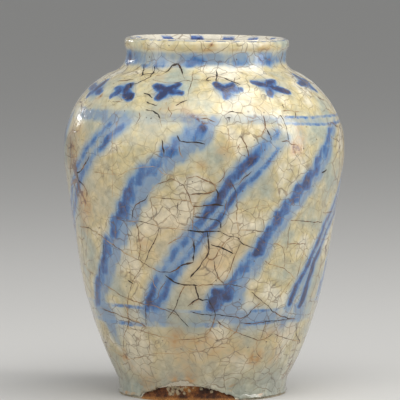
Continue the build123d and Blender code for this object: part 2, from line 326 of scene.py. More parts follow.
FOOT_BORE = 47.4
FOOT_DEPTH = 10.0
COAT = 1.2  # glaze, paint and slip together
RING_TOP = 12.2
UNDERSIDE = 10.6  # the flat width on which the ring stands
PATCH_FADE = 0.04  # radians over which the torn patch fades out at either end
CRUMBS_PX = {  # lumps of white grit in the torn patch: the pixel, and the lump's radius and height in mm
    (168, 389): (2.1, 0.7), (171, 386.5): (1.7, 0.6), (172.5, 391): (2.4, 0.9), (175.5, 388): (1.9, 0.8),
    (177.5, 392): (2.2, 0.8), (180, 386): (1.6, 0.7), (181.5, 390): (1.9, 0.8), (184, 393): (1.5, 0.5),
    (185.5, 387.5): (1.3, 0.6), (189, 391): (1.4, 0.5), (170, 394): (1.8, 0.6), (193, 388.5): (1.1, 0.4),
    (150, 390): (1.2, 0.3), (157, 388.5): (1.1, 0.3), (201, 389.5): (1.3, 0.4), (212, 391.5): (1.4, 0.4),
}
PATCH_EDGE_PX = [  # the glaze's broken edge round the torn patch
    (139, 398), (142, 393), (148, 391.5), (153, 390.5), (158, 388), (163, 385.5), (167, 385), (171, 382.5),
    (176, 382), (181, 380.5), (187, 381), (191, 383.5), (195, 385.5), (201, 386.5), (208, 388), (214, 389.5),
    (219, 391.5), (225, 393.5), (232, 395.5), (240, 398.5),
]
patch_azimuth, patch_run = on_jar(PATCH_EDGE_PX)
COLUMNS = 450
azimuths = np.linspace(-np.pi, np.pi, COLUMNS, endpoint=False)
ring_runs = np.linspace(run_at(RING_TOP), outline_run[-1] - 0.4, 22)
under = walk((FOOT_BORE + 12.0, 0.0), 180, [("run", UNDERSIDE)], 1.0)
under = np.concatenate([[(FOOT_BORE + 12.7, 0.12)], under, [(FOOT_BORE + 0.4, 0.3)]])
inner_side = walk((FOOT_BORE, 0.9), 90, [("run", FOOT_DEPTH - 0.9)], 1.0)
top_side = walk((FOOT_BORE + 0.6, FOOT_DEPTH), 0, [("run", 11.0)], 1.5)
lathed = turned(np.concatenate([under, inner_side, top_side]), azimuths)
crumb_places = on_jar(list(CRUMBS_PX))
crumb = np.zeros((len(ring_runs), COLUMNS))
swelling = np.zeros((len(ring_runs), COLUMNS))
grit = waves(azimuths, ring_runs[:, None], 5.0, 11) + 0.7 * waves(azimuths, ring_runs[:, None], 2.6, 12)
for azimuth, run, (spread, rise) in zip(*crumb_places, CRUMBS_PX.values()):
    away = np.hypot((azimuths - azimuth) * WAIST[0], ring_runs[:, None] - run) / spread
    lump = np.sqrt(np.clip(1 - (away * (1 + 0.25 * grit)) ** 2, 0, 1))
    crumb = np.maximum(crumb, lump)
    swelling = np.maximum(swelling, rise * lump)
fade_in = np.clip((ring_runs - ring_runs[0]) / 3, 0, 1)[:, None]
proud = (swelling * 0.8 + 0.16 * grit + 0.1) * fade_in
outer_side = side(azimuths, ring_runs[:, None], COAT - proud)
outer_side[..., 2] = outer_side[..., 2].clip(0.05)
torn = np.clip((azimuths - patch_azimuth[0]) / PATCH_FADE, 0, 1)
torn = torn * np.clip((patch_azimuth[-1] - azimuths) / PATCH_FADE, 0, 1)
foot_piece = shell("foot_ring_bare", np.concatenate([outer_side, lathed]))
note(foot_piece, "crumb", np.concatenate([crumb, np.zeros(lathed.shape[:2])]))
note(foot_piece, "smeared", np.concatenate([1 - torn + 0 * crumb, np.zeros(lathed.shape[:2])]))


def noted(tree, name):
    """The number that note() keeps for every point under a name."""
    return add(tree, "Attribute", attribute_name=name, out="Fac")


def noise(tree, at, size, detail=3.0, roughness=0.5, **settings):
    """Smooth noise whose features are about `size` mm wide."""
    named = {"Scale": 1 / (size * MM), "Detail": detail, "Roughness": roughness}
    return add(tree, "TexNoise", at, named=named, **settings)


def times(tree, a, b):
    """One number times another."""
    return add(tree, "Math", a, b, operation="MULTIPLY")


def over(tree, share, under, colour, **settings):
    """One colour laid over another: under times (1 - share), plus colour times share."""
    colour = linear(colour) if isinstance(colour, str) else colour
    return add(tree, "Mix", share, under, colour, data_type="RGBA", **settings)


def shaded(tree, colour, by):
    """A colour made darker or lighter: it is multiplied by a number or by another colour."""
    return over(tree, 1.0, colour, by, blend_type="MULTIPLY")


GLASS = 1.5  # the refractive index of glaze


def surface(tree, colour, roughness, relief, strength, depth, coat=None):
    """Ends a finish: its colour, its roughness, and a relief `depth` mm deep that only bends the light. A
    glaze has a clear coat over it, with a roughness of its own."""
    bump = add(tree, "Bump", named={"Height": relief, "Strength": strength, "Distance": depth * MM})
    named = {"Roughness": roughness, "Normal": bump}
    if coat:
        named |= {"IOR": GLASS, "Coat Weight": 1.0, "Coat Roughness": coat, "Coat IOR": GLASS}
        named["Coat Normal"] = bump
    add(tree, "OutputMaterial", add(tree, "BsdfPrincipled", colour, named=named))


# Bare fritware is porous and dead matt. Iron and smoke turn its skin from orange to a burnt brown, and the
# grains of quartz in it stay whitish.
bare_paste, tree = finish_named("bare_fired_fritware")
GRAIN = 0.9
SMOKE = 7.0
at = add(tree, "TexCoord", out="Object")
grain = noise(tree, at, GRAIN)
smoke = noise(tree, at, SMOKE, 5.0, 0.65)
burnt = add(tree, "ValToRGB", smoke, stops=[
    (0.32, "#1E0F08"), (0.44, "#47250F"), (0.55, "#70401D"), (0.68, "#9C6832"), (0.85, "#BF9862"),
])
height = add(tree, "SeparateXYZ", at, out="Z")
low_edge = add(tree, "MapRange", height, 0.5 * MM, 3.0 * MM, 0.85, 0.0)
rusty = over(tree, low_edge, burnt, "#B57D42")
crumb_edge = add(tree, "Math", noted(tree, "crumb"), times(tree, grain, 0.5), operation="ADD")
crumb_mask = add(tree, "MapRange", crumb_edge, 0.6, 1.15, 0.0, 0.8)
paste = over(tree, crumb_mask, rusty, "#B5A585")
paste = over(tree, times(tree, noted(tree, "smeared"), 0.8), paste, "#B3AE9A")
paste = shaded(tree, paste, add(tree, "MapRange", grain, 0.38, 0.62, 0.6, 1.15))
surface(tree, paste, 0.88, add(tree, "Math", grain, smoke, operation="ADD"), 0.9, 0.5)

foot_piece.data.materials.append(bare_paste)
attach(foot_piece, "root")
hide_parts("foot_ring")

# The clay sections: bowl, shoulder and neck, thrown apart in the same fritware and joined when leather hard.
# The turning marks run round them. The neck leans with the lip, so it is a leaned copy of its solid.


def leaned_copy(node):
    """A copy of a node's mesh with its loose corners merged, and leaned as the glazed side is."""
    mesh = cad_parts[node].data.copy()
    mesh.name = node + "_leaned"
    form = bmesh.new()
    form.from_mesh(mesh)
    bmesh.ops.remove_doubles(form, verts=form.verts, dist=0.001 * MM)
    form.to_mesh(mesh)
    form.free()
    place = np.empty(len(mesh.vertices) * 3)
    mesh.vertices.foreach_get("co", place)
    mesh.vertices.foreach_set("co", (lean(*(place.reshape(-1, 3) / MM).T) * MM).ravel())
    mesh.materials.clear()
    mesh.shade_smooth()
    mesh.set_sharp_from_angle(angle=math.radians(40))
    piece = placed(mesh.name, mesh)
    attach(piece, "root")
    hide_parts(node)
    return piece


def dress(material, *nodes):
    """Gives solids of the CAD file, which stay as they are, another material."""
    for node in nodes:
        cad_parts[node].data.materials.clear()
        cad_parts[node].data.materials.append(material)


TURNING = 3.2  # mm between the marks of the turning tool
thrown, tree = finish_named("thrown_fritware")
at = add(tree, "TexCoord", out="Object")
rings = add(tree, "TexWave", at, named={
    "Scale": 1 / (TURNING * MM) / 20 * math.pi, "Distortion": 1.2, "Detail": 2.0, "Detail Scale": 1.5,
}, bands_direction="Z")
grain = noise(tree, at, GRAIN, 4.0)
tone = noise(tree, at, 26)
clay = add(tree, "ValToRGB", tone, stops=[(0.3, "#A98058"), (0.5, "#BE9A6E"), (0.7, "#D0B48C")])
fleck = add(tree, "MapRange", grain, 0.35, 0.65, 0.82, 1.1)
clay = shaded(tree, clay, fleck)
surface(tree, clay, 0.85, add(tree, "Math", rings, grain, operation="ADD"), 0.5, 0.25)

neck_piece = leaned_copy("neck_collar")
neck_piece.data.materials.append(thrown)
dress(thrown, "lower_body", "upper_body")

# The lutes: slip-soft clay pressed between two scored edges, which bonds them in the fire. It is finer and
# paler than the thrown clay and was squeezed smooth.
luted, tree = finish_named("fired_luting_clay")
at = add(tree, "TexCoord", out="Object")
grain = noise(tree, at, 1.6)
lute = add(tree, "ValToRGB", grain, stops=[(0.3, "#B89A74"), (0.7, "#D8C4A0")])
surface(tree, lute, 0.8, grain, 0.4, 0.15)
neck_seam = leaned_copy("neck_lute")
neck_seam.data.materials.append(luted)
dress(luted, "foot_lute", "belly_lute")

# White slip: ground quartz and white clay, washed over the dry body with a broad brush. It shows only as a
# chalky fringe round the torn patch of the foot.
slipped, tree = finish_named("white_quartz_slip")
at = add(tree, "TexCoord", out="Object")
chalk = noise(tree, at, 1.2, 4.0)
brushed = noise(tree, add(tree, "Mapping", at, named={"Scale": (1, 1, 8)}), 14, 2.0)
mixed = add(tree, "Mix", 0.5, chalk, brushed, data_type="FLOAT")
white = add(tree, "ValToRGB", mixed, stops=[(0.35, "#B9A88A"), (0.5, "#D9D0BC"), (0.65, "#E6E0D0")])
surface(tree, white, 0.9, mixed, 0.6, 0.2)
slip_piece = leaned_copy("white_slip")
slip_piece.data.materials.append(slipped)

# The brushwork itself: cobalt ore ground in water and laid on the slip, a thin dark skin under the glaze.
# It pools at the end of each stroke, so its blue runs from pale to nearly black.
pigment, tree = finish_named("brushed_cobalt")
at = add(tree, "TexCoord", out="Object")
pooled = noise(tree, at, 6, 5.0, 0.6)
blue = add(tree, "ValToRGB", pooled, stops=[(0.3, "#132A66"), (0.5, "#2D4F9A"), (0.72, "#6F8DC0")])
surface(tree, blue, 0.7, pooled, 0.3, 0.1)
band_piece = leaned_copy("cobalt_bands")
band_piece.data.materials.append(pigment)
dress(pigment, "cobalt_stepped_stripes", "cobalt_ruled_stripes", "cobalt_florets")

# The outer glaze: alkaline glass, 0.7 mm thick, poured over the brushwork and fired to a wet gloss. It crazed
# as it cooled, gathered in a bead at its lower edge, and let the cobalt bleed, so that the blue is seen
# through it.
GLAZE = 0.7
GLAZE_STOP = 1.2
BEAD = 0.55  # how far the bead stands out, in mm
THROWING = 9.5  # mm from one throwing ring to the next
SQUARED = 0.8  # how far the glaze squares the lip, in mm
run_end = run_at(GLAZE_STOP)


def glaze_end(azimuth):
    """How far down the glaze runs: a wavering line near the table, and the broken edge over the torn
    patch."""
    azimuth = np.asarray(azimuth)
    waver = 0.5 * (1 + waves(azimuth, 0, 14.0, 21)) + 0.25 * waves(azimuth, 0, 4.0, 22)
    plain = run_end - 0.1 - 0.6 * np.clip(waver, 0, 1.6)
    torn = np.interp(azimuth, patch_azimuth, patch_run) + 0.35 * waves(azimuth, 0, 3.0, 23)
    inside = (azimuth > patch_azimuth[0]) & (azimuth < patch_azimuth[-1])
    return np.where(inside, np.minimum(torn, plain), plain)


def swell(azimuth, run):
    """How far the glaze stands out, in mm: long soft waves, throwing rings, a squarer lip, and a bead along
    its lower edge."""
    above_edge = glaze_end(azimuth) - run
    bead = BEAD * np.exp(-(((above_edge - 1.7) / 1.3) ** 2)) * (1 + 0.6 * waves(azimuth, 0, 18.0, 31))
    soft = 0.16 * waves(azimuth, run, 42.0, 32) + 0.07 * waves(azimuth, run, 15.0, 33)
    rings = 0.05 * np.cos(2 * np.pi * run / THROWING + 2 * waves(azimuth, run, 90.0, 34))
    square_lip = SQUARED * np.exp(-(((run - 3.0) / 1.7) ** 2))
    return 0.12 + bead + soft + rings + square_lip


def skin(azimuth, run, rise):
    """The glaze's outer face, raised by `rise` mm."""
    return side(azimuth, run, -swell(azimuth, run) - rise)


WAVER_FROM = 250.0  # mm down the outline, from which the rows follow the ragged lower edge
ROW_STEP = 1.7
rows = np.concatenate([
    np.arange(0, 30, 1.0), np.arange(30, 225, ROW_STEP), np.arange(225, 268, 2.4),
    np.linspace(268, run_end, 16),
])
end = glaze_end(azimuths)
stretch = (end - WAVER_FROM) / (run_end - WAVER_FROM)
down = rows[:, None]
runs = np.where(down > WAVER_FROM, WAVER_FROM + (down - WAVER_FROM) * stretch, down)
back_rows = np.concatenate([np.arange(0, 44, 2.2), np.linspace(46, run_end, 20)])[::-1, None] / run_end
back_runs = back_rows * (end - 0.15)
front = skin(azimuths, runs, 0)
rolled = side(azimuths, end + 0.12, 0.3 * GLAZE)[None]
back = side(azimuths, back_runs, GLAZE)
glaze_piece = shell("outer_glaze_crazed", np.concatenate([front, rolled, back]))
behind = np.zeros((len(back) + 1, COLUMNS))

# Where each point of the glaze lies on the jar, bent a little, so that no painted edge comes out straight.
wander = np.stack([waves(azimuths, runs, 22.0, 41), waves(azimuths, runs, 22.0, 42)])
wander += 0.5 * np.stack([waves(azimuths, runs, 7.0, 43), waves(azimuths, runs, 7.0, 44)])
girth = np.interp(runs, outline_run, outline[:, 0])
bent_azimuth = azimuths + 0.55 * wander[0] / girth
bent_run = runs + 0.55 * wander[1]
heights = np.interp(runs, outline_run, outline[:, 1])


def wrapped(angle):
    """An angle brought to within half a turn of zero."""
    return np.angle(np.exp(1j * angle))


def stroke(start, end):
    """Distance in mm from every point of the glaze to a straight stroke between two places (azimuth, run), on
    the side laid out flat, and the share of the stroke's length at which the nearest point lies."""
    ax = wrapped(bent_azimuth - start[0]) * girth
    ay = bent_run - start[1]
    dx = wrapped(end[0] - start[0]) * girth
    dy = end[1] - start[1]
    share = np.clip((ax * dx + ay * dy) / np.maximum(dx ** 2 + dy ** 2, 1e-9), 0, 1)
    return np.hypot(ax - share * dx, ay - share * dy), share


def from_place(place):
    """Distance in mm from every point of the glaze to one place (azimuth, run)."""
    return stroke(place, place)[0]


def ink(distance, soft):
    """How much paint lies at a signed distance from a stroke's edge: a smooth step, 2 soft mm wide."""
    t = np.clip(0.5 - distance / (2 * soft), 0, 1)
    return t * t * (3 - 2 * t)


# Stepped stripes: a row of upright dabs, each one lower and further to the left. The two that face the camera
# are listed dab by dab: the pixels of its top and bottom, its width in pixels, and its strength. The others
# follow the same curve round the jar.
PX_MM = 0.7324  # how much of the jar one pixel shows
STEPPED_PX = [
    (204, 125, 197, 142, 11, 0.6), (192, 128, 186, 146, 12, 0.5), (179, 137, 173, 158, 11, 0.62),
    (168, 146, 161, 168, 12, 0.58), (156, 157, 150, 178, 12, 0.58), (146, 166, 140, 187, 12, 0.62),
    (137, 175, 131, 197, 12, 0.72), (133, 188, 128, 205, 14, 0.8), (126, 201, 122, 221, 14, 0.85),
    (118, 217, 115, 238, 13, 0.66), (110, 237, 107.5, 258, 10, 0.7), (107, 253, 105, 274, 8, 0.82),
    (103, 266, 101, 286, 8, 0.6), (99.5, 277, 98.5, 306, 7, 0.85),
    (331, 127, 326.5, 144, 7, 0.62), (326, 144, 321.5, 162, 8.5, 0.72), (320, 157, 314.5, 177, 9, 0.78),
    (312, 170, 305, 190, 10, 0.85), (301.5, 184, 294, 204, 11, 0.85), (291, 198, 284, 216, 10.5, 0.85),
    (281, 211, 275, 227, 11, 0.8), (273, 225, 265, 242, 11, 0.85), (265, 237, 257.5, 257, 12, 0.95),
    (254.5, 251, 247.5, 273, 11, 0.62), (246, 262, 236, 284, 12, 0.6), (239, 273, 231, 290, 11, 0.72),
    (231, 284, 226, 302, 11, 0.95), (220, 288, 214, 311, 14, 1.0), (237, 286, 231, 301, 9, 0.55),
]
STRIPE_TOP = 201.0
STRIPE_FOOT = 72.0
STRIPE_SWEEP = math.radians(61)
DAB_DROP = 9.8
DAB_HALF = 7.8
DAB_RADIUS = 5.0
DAB_CORNER = 1.6


def swept(top, sweep=STRIPE_SWEEP, count=14):
    """The middle of a stripe at the sides and back: it falls evenly as it turns left, with a slight bow."""
    share = np.linspace(0, 1, count)
    azimuth = math.radians(top) - sweep * (share + 0.06 * np.sin(np.pi * share))
    return azimuth, run_at(STRIPE_TOP - share * (STRIPE_TOP - STRIPE_FOOT))


def brush_dab(top, bottom, radius, strength):
    """Lays one dab on the glaze: a slanted box with rounded corners. The paint is full at its left side and
    thinner at its right, and a wash spreads from it, mostly to the right."""
    middle = (np.array(top) + bottom) / 2
    along = bent_run - middle[1]
    across = wrapped(bent_azimuth - middle[0]) * girth
    across -= along * (bottom[0] - top[0]) * girth / (bottom[1] - top[1])
    past = np.stack([np.abs(across) - radius, np.abs(along) - (bottom[1] - top[1]) / 2]) + DAB_CORNER
    away = np.hypot(*past.clip(0)) + past.max(0).clip(max=0) - DAB_CORNER
    right = across / radius
    pooled = np.clip(0.84 - 0.3 * right, 0.35, 1.05)
    np.maximum(cobalt, ink(away - 0.2, 2.0) * pooled * strength, out=cobalt)
    np.maximum(wash, 0.95 * ink(away - 2.0 - 3.5 * right.clip(0, 1.2), 4.0), out=wash)


draw = np.random.default_rng(5)
cobalt = np.zeros(runs.shape)
wash = np.zeros(runs.shape)
dab_px = np.array(STEPPED_PX)
tops, bottoms = np.array(on_jar(dab_px[:, :2])).T, np.array(on_jar(dab_px[:, 2:4])).T
for top, bottom, width, strength in zip(tops, bottoms, dab_px[:, 4], dab_px[:, 5]):
    brush_dab(top, bottom, width * PX_MM / 2 / max(math.cos(top[0]), 0.5), strength)
for start in (136, 208, 280):
    azimuth, run = swept(start)
    for at_run in np.arange(run[0] + DAB_HALF * 0.7, run[-1] - DAB_HALF * 0.3, DAB_DROP):
        middle = np.array([np.interp(at_run, run, azimuth), at_run + draw.normal(0, 1.0)])
        half = np.array([draw.normal(-0.012, 0.008), DAB_HALF * draw.uniform(0.85, 1.2)])
        radius = DAB_RADIUS * draw.uniform(0.88, 1.15)
        brush_dab(middle - half, middle + half, radius, draw.uniform(0.6, 0.95))

# Ruled stripes: two brushed lines side by side with a thin wash between them. After each pixel of a line
# stand its half width in mm and its strength.
RULED_PX = [
    [
        (277, 133, 3.0, 0.42), (268, 142, 4.2, 0.36), (258, 152, 4.5, 0.42), (251, 160, 4.2, 0.9),
        (243, 167, 4.2, 0.78), (232, 179, 4.0, 0.74), (226, 188, 3.8, 0.9), (218, 200, 3.6, 0.92),
        (209, 211, 3.4, 0.95), (199, 223, 3.4, 0.8), (193, 231, 3.2, 0.5), (185, 241, 3.4, 0.52),
        (175, 253, 3.2, 0.55), (168, 263, 3.0, 0.42), (160, 276, 3.2, 0.52), (154, 288, 3.2, 0.75),
        (149, 300, 3.4, 0.92), (147.5, 310, 2.6, 0.8),
    ],
    [
        (288, 137, 1.2, 0.35), (280, 147, 1.8, 0.35), (266, 165, 1.9, 0.8), (258, 173, 2.5, 0.66),
        (248, 182, 3.0, 0.6), (240, 190, 2.6, 0.66), (230, 201, 2.4, 0.9), (224, 211, 2.3, 0.88),
        (219, 221, 2.4, 0.76), (209, 230, 2.6, 0.8), (202, 237, 2.6, 0.62), (190, 254, 2.6, 0.52),
        (178, 269, 2.8, 0.5), (171, 279, 2.8, 0.58), (165, 292, 3.0, 0.72), (158.5, 306, 2.4, 0.62),
    ],
    [
        (333, 206.5, 2.7, 0.95), (326, 221, 2.7, 0.92), (317, 243, 2.7, 0.88), (309.5, 261, 2.7, 0.9),
        (303, 275, 2.8, 0.98), (295, 289, 2.8, 1.05), (289.5, 303.5, 2.5, 1.0),
    ],
    [
        (334.2, 211.5, 2.3, 1.0), (327.5, 228, 2.4, 1.05), (321, 246, 2.5, 1.05), (314.5, 261, 2.6, 1.1),
        (309.5, 278, 2.9, 1.2), (304, 294, 3.2, 1.3), (299, 305, 2.8, 1.3),
    ],
]
RULE_SPREAD = math.radians(7)
BETWEEN_PX = [
    (282, 137), (267, 152), (253, 168), (238, 183), (225, 198), (215, 213), (205, 226), (196, 240),
    (189, 253), (180, 267), (169, 282), (160, 296), (155, 307),
]
FAR_RIGHT = {106: 201, 99: 188, 92: 173, 85.5: 160, 80: 149}  # the hidden upper end of the right stripe
FAR_GAP = 0.09  # radians between its two lines
FAR_HALF = 2.0
FAR_STRENGTH = 0.8


def brush_line(azimuth, run, half_width, strength):
    """Lays one line through its places, with a half width and a strength at each, and a wash beside it."""
    for at in range(len(run) - 1):
        away, share = stroke((azimuth[at], run[at]), (azimuth[at + 1], run[at + 1]))
        radius = half_width[at] + share * (half_width[at + 1] - half_width[at])
        full = strength[at] + share * (strength[at + 1] - strength[at])
        np.maximum(cobalt, ink(away - radius + 0.4, 2.0) * full, out=cobalt)
        np.maximum(wash, 0.8 * ink(away - radius - 2.2, 4.0), out=wash)


for number, line in enumerate(RULED_PX):
    x, y, half_width, strength = np.array(line).T
    azimuth, run = on_jar(np.stack([x, y], -1))
    if number >= 2:
        beyond = np.radians(list(FAR_RIGHT)) + (number - 2) * FAR_GAP
        azimuth = np.append(beyond, azimuth)
        run = np.append(run_at(list(FAR_RIGHT.values())), run)
        half_width = np.append([FAR_HALF] * len(beyond), half_width)
        strength = np.append([FAR_STRENGTH] * len(beyond), strength)
    brush_line(azimuth, run, half_width, strength)
for start, sweep in ((172, 61), (244, 61), (-39, 71)):
    azimuth, run = swept(start, math.radians(sweep))
    for side_share, thick in ((-0.5, 2.6), (0.5, 3.0)):
        ease = np.linspace(0.5, 0.9, len(run)) + 0.12 * draw.normal(0, 1, len(run))
        brush_line(azimuth + side_share * RULE_SPREAD, run, thick + 0 * run, ease)
azimuth, run = on_jar(BETWEEN_PX)
for step in range(len(run) - 1):
    away, share = stroke((azimuth[step], run[step]), (azimuth[step + 1], run[step + 1]))
    fuller = np.clip((step + share) / len(run) - 0.3, 0, 1)
    cobalt = np.maximum(cobalt, ink(away - 4.5, 3.0) * (0.1 + 0.5 * fuller))

# Florets: four short petals crossed on the shoulder. The six that face the camera have their own tips.
FLORETS_PX = [
    ((97, 89), [(105.5, 81.5), (88.5, 95.5), (92, 86), (101, 92.5)]),
    ((124.5, 89.5), [(112, 95.5), (131, 84), (129.5, 98.5), (117, 88)]),
    ((166, 90.5), [(156, 86), (159, 98), (178, 85), (181, 93)]),
    ((226.8, 90.5), [(216, 84.5), (240, 90), (232, 85), (226, 97.3)]),
    ((268, 86), [(252.8, 82.3), (286.8, 92), (273.5, 81.5), (269.6, 94.3)]),
    ((305, 82.5), [(296, 76), (315, 89.5), (300, 84), (306.5, 80.5)]),
]
PETAL = 8.5
florets = []
for centre, tips in FLORETS_PX:
    azimuth, run = on_jar([centre, *tips])
    florets.append([np.array(place) for place in zip(azimuth, run)])
first, last = florets[0][0], florets[-1][0]
gap = 2 * np.pi - (last[0] - first[0])
for number in range(1, 9):
    centre = np.array([last[0] + gap * number / 9, (first[1] + last[1]) / 2 + draw.normal(0, 0.8)])
    around = np.radians([42, 138, 222, 318]) + draw.normal(0, 0.16, 4)
    reach = PETAL * draw.uniform(0.8, 1.15, 4)
    wide = np.interp(centre[1], outline_run, outline[:, 0])
    petals = np.stack([reach * np.cos(around) / wide, reach * np.sin(around)], -1)
    florets.append([centre, *(centre + petals)])
for centre, *tips in florets:
    for tip in tips:
        away, share = stroke(centre, tip)
        width = 1.5 + 2.2 * np.sin(np.pi * np.clip(0.1 + 0.7 * share, 0, 1))
        cobalt = np.maximum(cobalt, ink(away - width + 0.3, 2.1) * draw.uniform(0.8, 1.2))
        cobalt = np.maximum(cobalt, ink(from_place(tip) - 1.2, 1.6) * draw.uniform(0.6, 1.2))
    away = from_place(centre)
    cobalt = np.maximum(cobalt, 0.45 * ink(away - 4.0, 4.0))
    wash = np.maximum(wash, 0.9 * ink(away - 7.0, 6.0))

# Blots: soft patches of wash, stain and warmth. Each is a bell curve round a pixel, with a radius in mm.


def blots(picks):
    """The sum of bell curves: strength times exp of minus the squared distance over the squared radius. A
    third number draws a blot out, down the jar."""
    azimuth, run = on_jar(list(picks))
    total = np.zeros(runs.shape)
    for at_azimuth, at_run, (radius, strength, *tall) in zip(azimuth, run, picks.values()):
        across = wrapped(bent_azimuth - at_azimuth) * girth
        down = (bent_run - at_run) / (tall[0] if tall else 1)
        total += strength * np.exp(-(across ** 2 + down ** 2) / radius ** 2)
    return total


COBALT_BLOTS_PX = {
    (130, 57): (4.5, 0.5), (136, 60): (4, 0.35), (128, 63): (3, 0.3), (189, 62): (4, 0.45),
    (198, 61): (4.5, 0.45), (204, 62): (3, 0.3), (260, 60): (4, 0.45), (268, 61): (5, 0.5),
    (276, 60): (4, 0.35), (232, 62): (6, 0.25), (246, 61): (5, 0.3), (162, 66): (7, 0.2), (148, 66): (4, 0.2),
    (218, 298): (5, 0.2), (209, 303): (3.5, 0.3), (168, 90): (3, 0.3), (131.5, 96): (2, 0.5),
    (104, 290): (5, 0.15), (112, 300): (5, 0.12), (152, 304): (5, 0.2), (160, 312): (5, 0.22),
    (203, 128): (2.6, 0.5), (197, 119): (2.0, 0.6), (250, 161): (2.5, 0.2), (97, 112): (6, 0.12),
    (89, 110): (5, 0.15), (232, 186): (2.0, 0.3), (258, 250): (3, 0.25), (144, 66): (6, 0.26, 0.4),
    (158, 66.5): (7, 0.26, 0.4), (174, 66): (6, 0.2, 0.4), (190, 65.5): (6, 0.2, 0.4),
    (216, 64.5): (7, 0.14, 0.4), (236, 65): (7, 0.12, 0.4), (254, 66): (7, 0.14, 0.4),
    (274, 66): (6, 0.16, 0.4),
}
WASH_BLOTS_PX = {
    (84, 112): (7, 0.5), (94, 113): (8, 0.5), (106, 114): (8, 0.5), (118, 116): (8, 0.4),
    (132, 118): (8, 0.25), (106, 312): (8, 0.9), (111, 322): (8, 0.9), (114, 334): (7, 0.7),
    (119, 343): (4, 0.5), (100, 300): (5, 0.5), (150, 310): (6, 0.7), (157, 316): (7, 0.7),
    (164, 322): (6, 0.4), (208, 302): (8, 0.4), (226, 318): (8, 0.5), (240, 321): (9, 0.6),
    (254, 321): (9, 0.6), (268, 322): (9, 0.55), (282, 322): (9, 0.6), (297, 320): (8, 0.6),
    (240, 309): (8, 0.4), (256, 310): (8, 0.35), (272, 309): (8, 0.3), (178, 108): (9, 0.12),
    (250, 116): (9, 0.2), (230, 117): (8, 0.2), (270, 117): (8, 0.25), (140, 204): (9, 0.55),
    (134, 218): (8, 0.5), (124, 240): (8, 0.5), (120, 256): (8, 0.5), (118, 270): (7, 0.4),
    (112, 284): (8, 0.4), (150, 190): (8, 0.3), (215, 240): (9, 0.2), (182, 116): (8, 0.3),
    (160, 118): (9, 0.25), (200, 150): (8, 0.3), (188, 160): (8, 0.3), (186, 243): (9, 0.3),
}
SMOKE_BLOTS_PX = {  # grey-green, where the wash ran thin
    (172, 322): (8, 0.5), (184, 325): (8, 0.55), (196, 327): (8, 0.5), (208, 324): (7, 0.45),
    (200, 316): (8, 0.3), (136, 310): (8, 0.25), (262, 375): (11, 0.4), (276, 370): (8, 0.45),
    (268, 384): (9, 0.45), (96, 112): (9, 0.3), (150, 62): (7, 0.25), (172, 60): (7, 0.2),
    (88, 130): (7, 0.25), (144, 344): (12, 0.2), (82, 118): (6, 0.3), (71, 150): (8, 0.8, 2),
    (74, 185): (8, 0.8, 2), (80, 215): (8, 0.5, 1.5), (220, 58): (9, 0.35), (246, 57): (9, 0.3),
}
STAIN_BLOTS_PX = {
    (71, 145): (9, 0.9, 1.6), (73, 165): (10, 0.95, 1.5), (77, 185): (9, 0.9, 1.5), (82, 200): (8, 0.75, 1.5),
    (88, 208): (7, 0.45, 1.3), (84, 224): (7, 0.35), (80, 130): (6, 0.35), (86, 140): (5, 0.35, 2),
    (295, 146): (5, 0.9), (297, 152): (5, 0.6), (300, 136): (5, 0.5, 2.2), (225, 150): (7, 0.45),
    (202, 164): (4, 0.45), (200, 118): (4, 0.6), (187, 114): (2.5, 0.8), (193, 116.5): (2.4, 1.0),
    (199, 120.5): (2.6, 1.0), (205, 123.5): (2.4, 1.0), (190, 122): (2.2, 0.7), (183, 119): (3, 0.5),
    (209, 126): (2.0, 0.8), (184, 110): (5, 0.4), (200, 128): (7, 0.25), (174, 340): (7, 0.5, 1.5),
    (196, 344): (7, 0.45), (212, 350): (8, 0.4), (236, 350): (8, 0.45), (256, 355): (6, 0.6, 1.4),
    (254, 360): (4, 0.5), (274, 356): (7, 0.4, 1.6), (208, 336): (4, 0.6), (188, 366): (9, 0.35, 1.5),
    (180, 334): (6, 0.35), (268, 332): (6, 0.5), (280, 330): (6, 0.5), (292, 328): (5, 0.5),
    (283, 322): (4, 0.3), (124.5, 350): (2.0, 1.2), (126, 356): (1.8, 1.2), (123, 357): (2.5, 0.6),
    (130, 365): (6, 0.35), (128, 391): (3.4, 1.0), (134, 393): (3.0, 0.8), (124, 389): (2.5, 0.7),
    (259, 394): (3, 0.9), (274, 385): (2.4, 0.8), (175, 380): (5, 0.6), (190, 379): (4, 0.8),
    (212, 45): (2.2, 1.0), (205, 52): (9, 0.35), (262, 50): (10, 0.35), (150, 128): (8, 0.2),
    (262, 108): (8, 0.25), (232, 387): (2.0, 1.1), (143, 244): (8, 0.35), (187, 233): (8, 0.2),
    (213, 262): (9, 0.3), (243, 250): (9, 0.2), (120, 355): (6, 0.25), (146, 385): (8, 0.3),
    (150, 378): (10, 0.25, 1.5), (98, 98): (5, 0.3), (101, 96): (1.4, 1.1), (160, 78): (6, 0.3),
    (170, 107): (8, 0.3),
}
WARM_BLOTS_PX = {
    (205, 245): (24, 0.6), (215, 275): (24, 0.6), (235, 255): (22, 0.4), (180, 235): (22, 0.4),
    (250, 340): (26, 0.3), (200, 300): (20, 0.3), (160, 260): (24, 0.4), (250, 150): (24, 0.3),
    (225, 205): (20, 0.35), (100, 200): (24, 0.55), (150, 215): (24, 0.45), (140, 290): (22, 0.4),
    (110, 250): (20, 0.45), (150, 350): (28, 0.55), (205, 350): (28, 0.55), (90, 160): (18, 0.5),
}
cobalt += blots(COBALT_BLOTS_PX)
wash += blots(WASH_BLOTS_PX)
smoke_grey = blots(SMOKE_BLOTS_PX)
stain = blots(STAIN_BLOTS_PX)
warm = blots(WARM_BLOTS_PX)

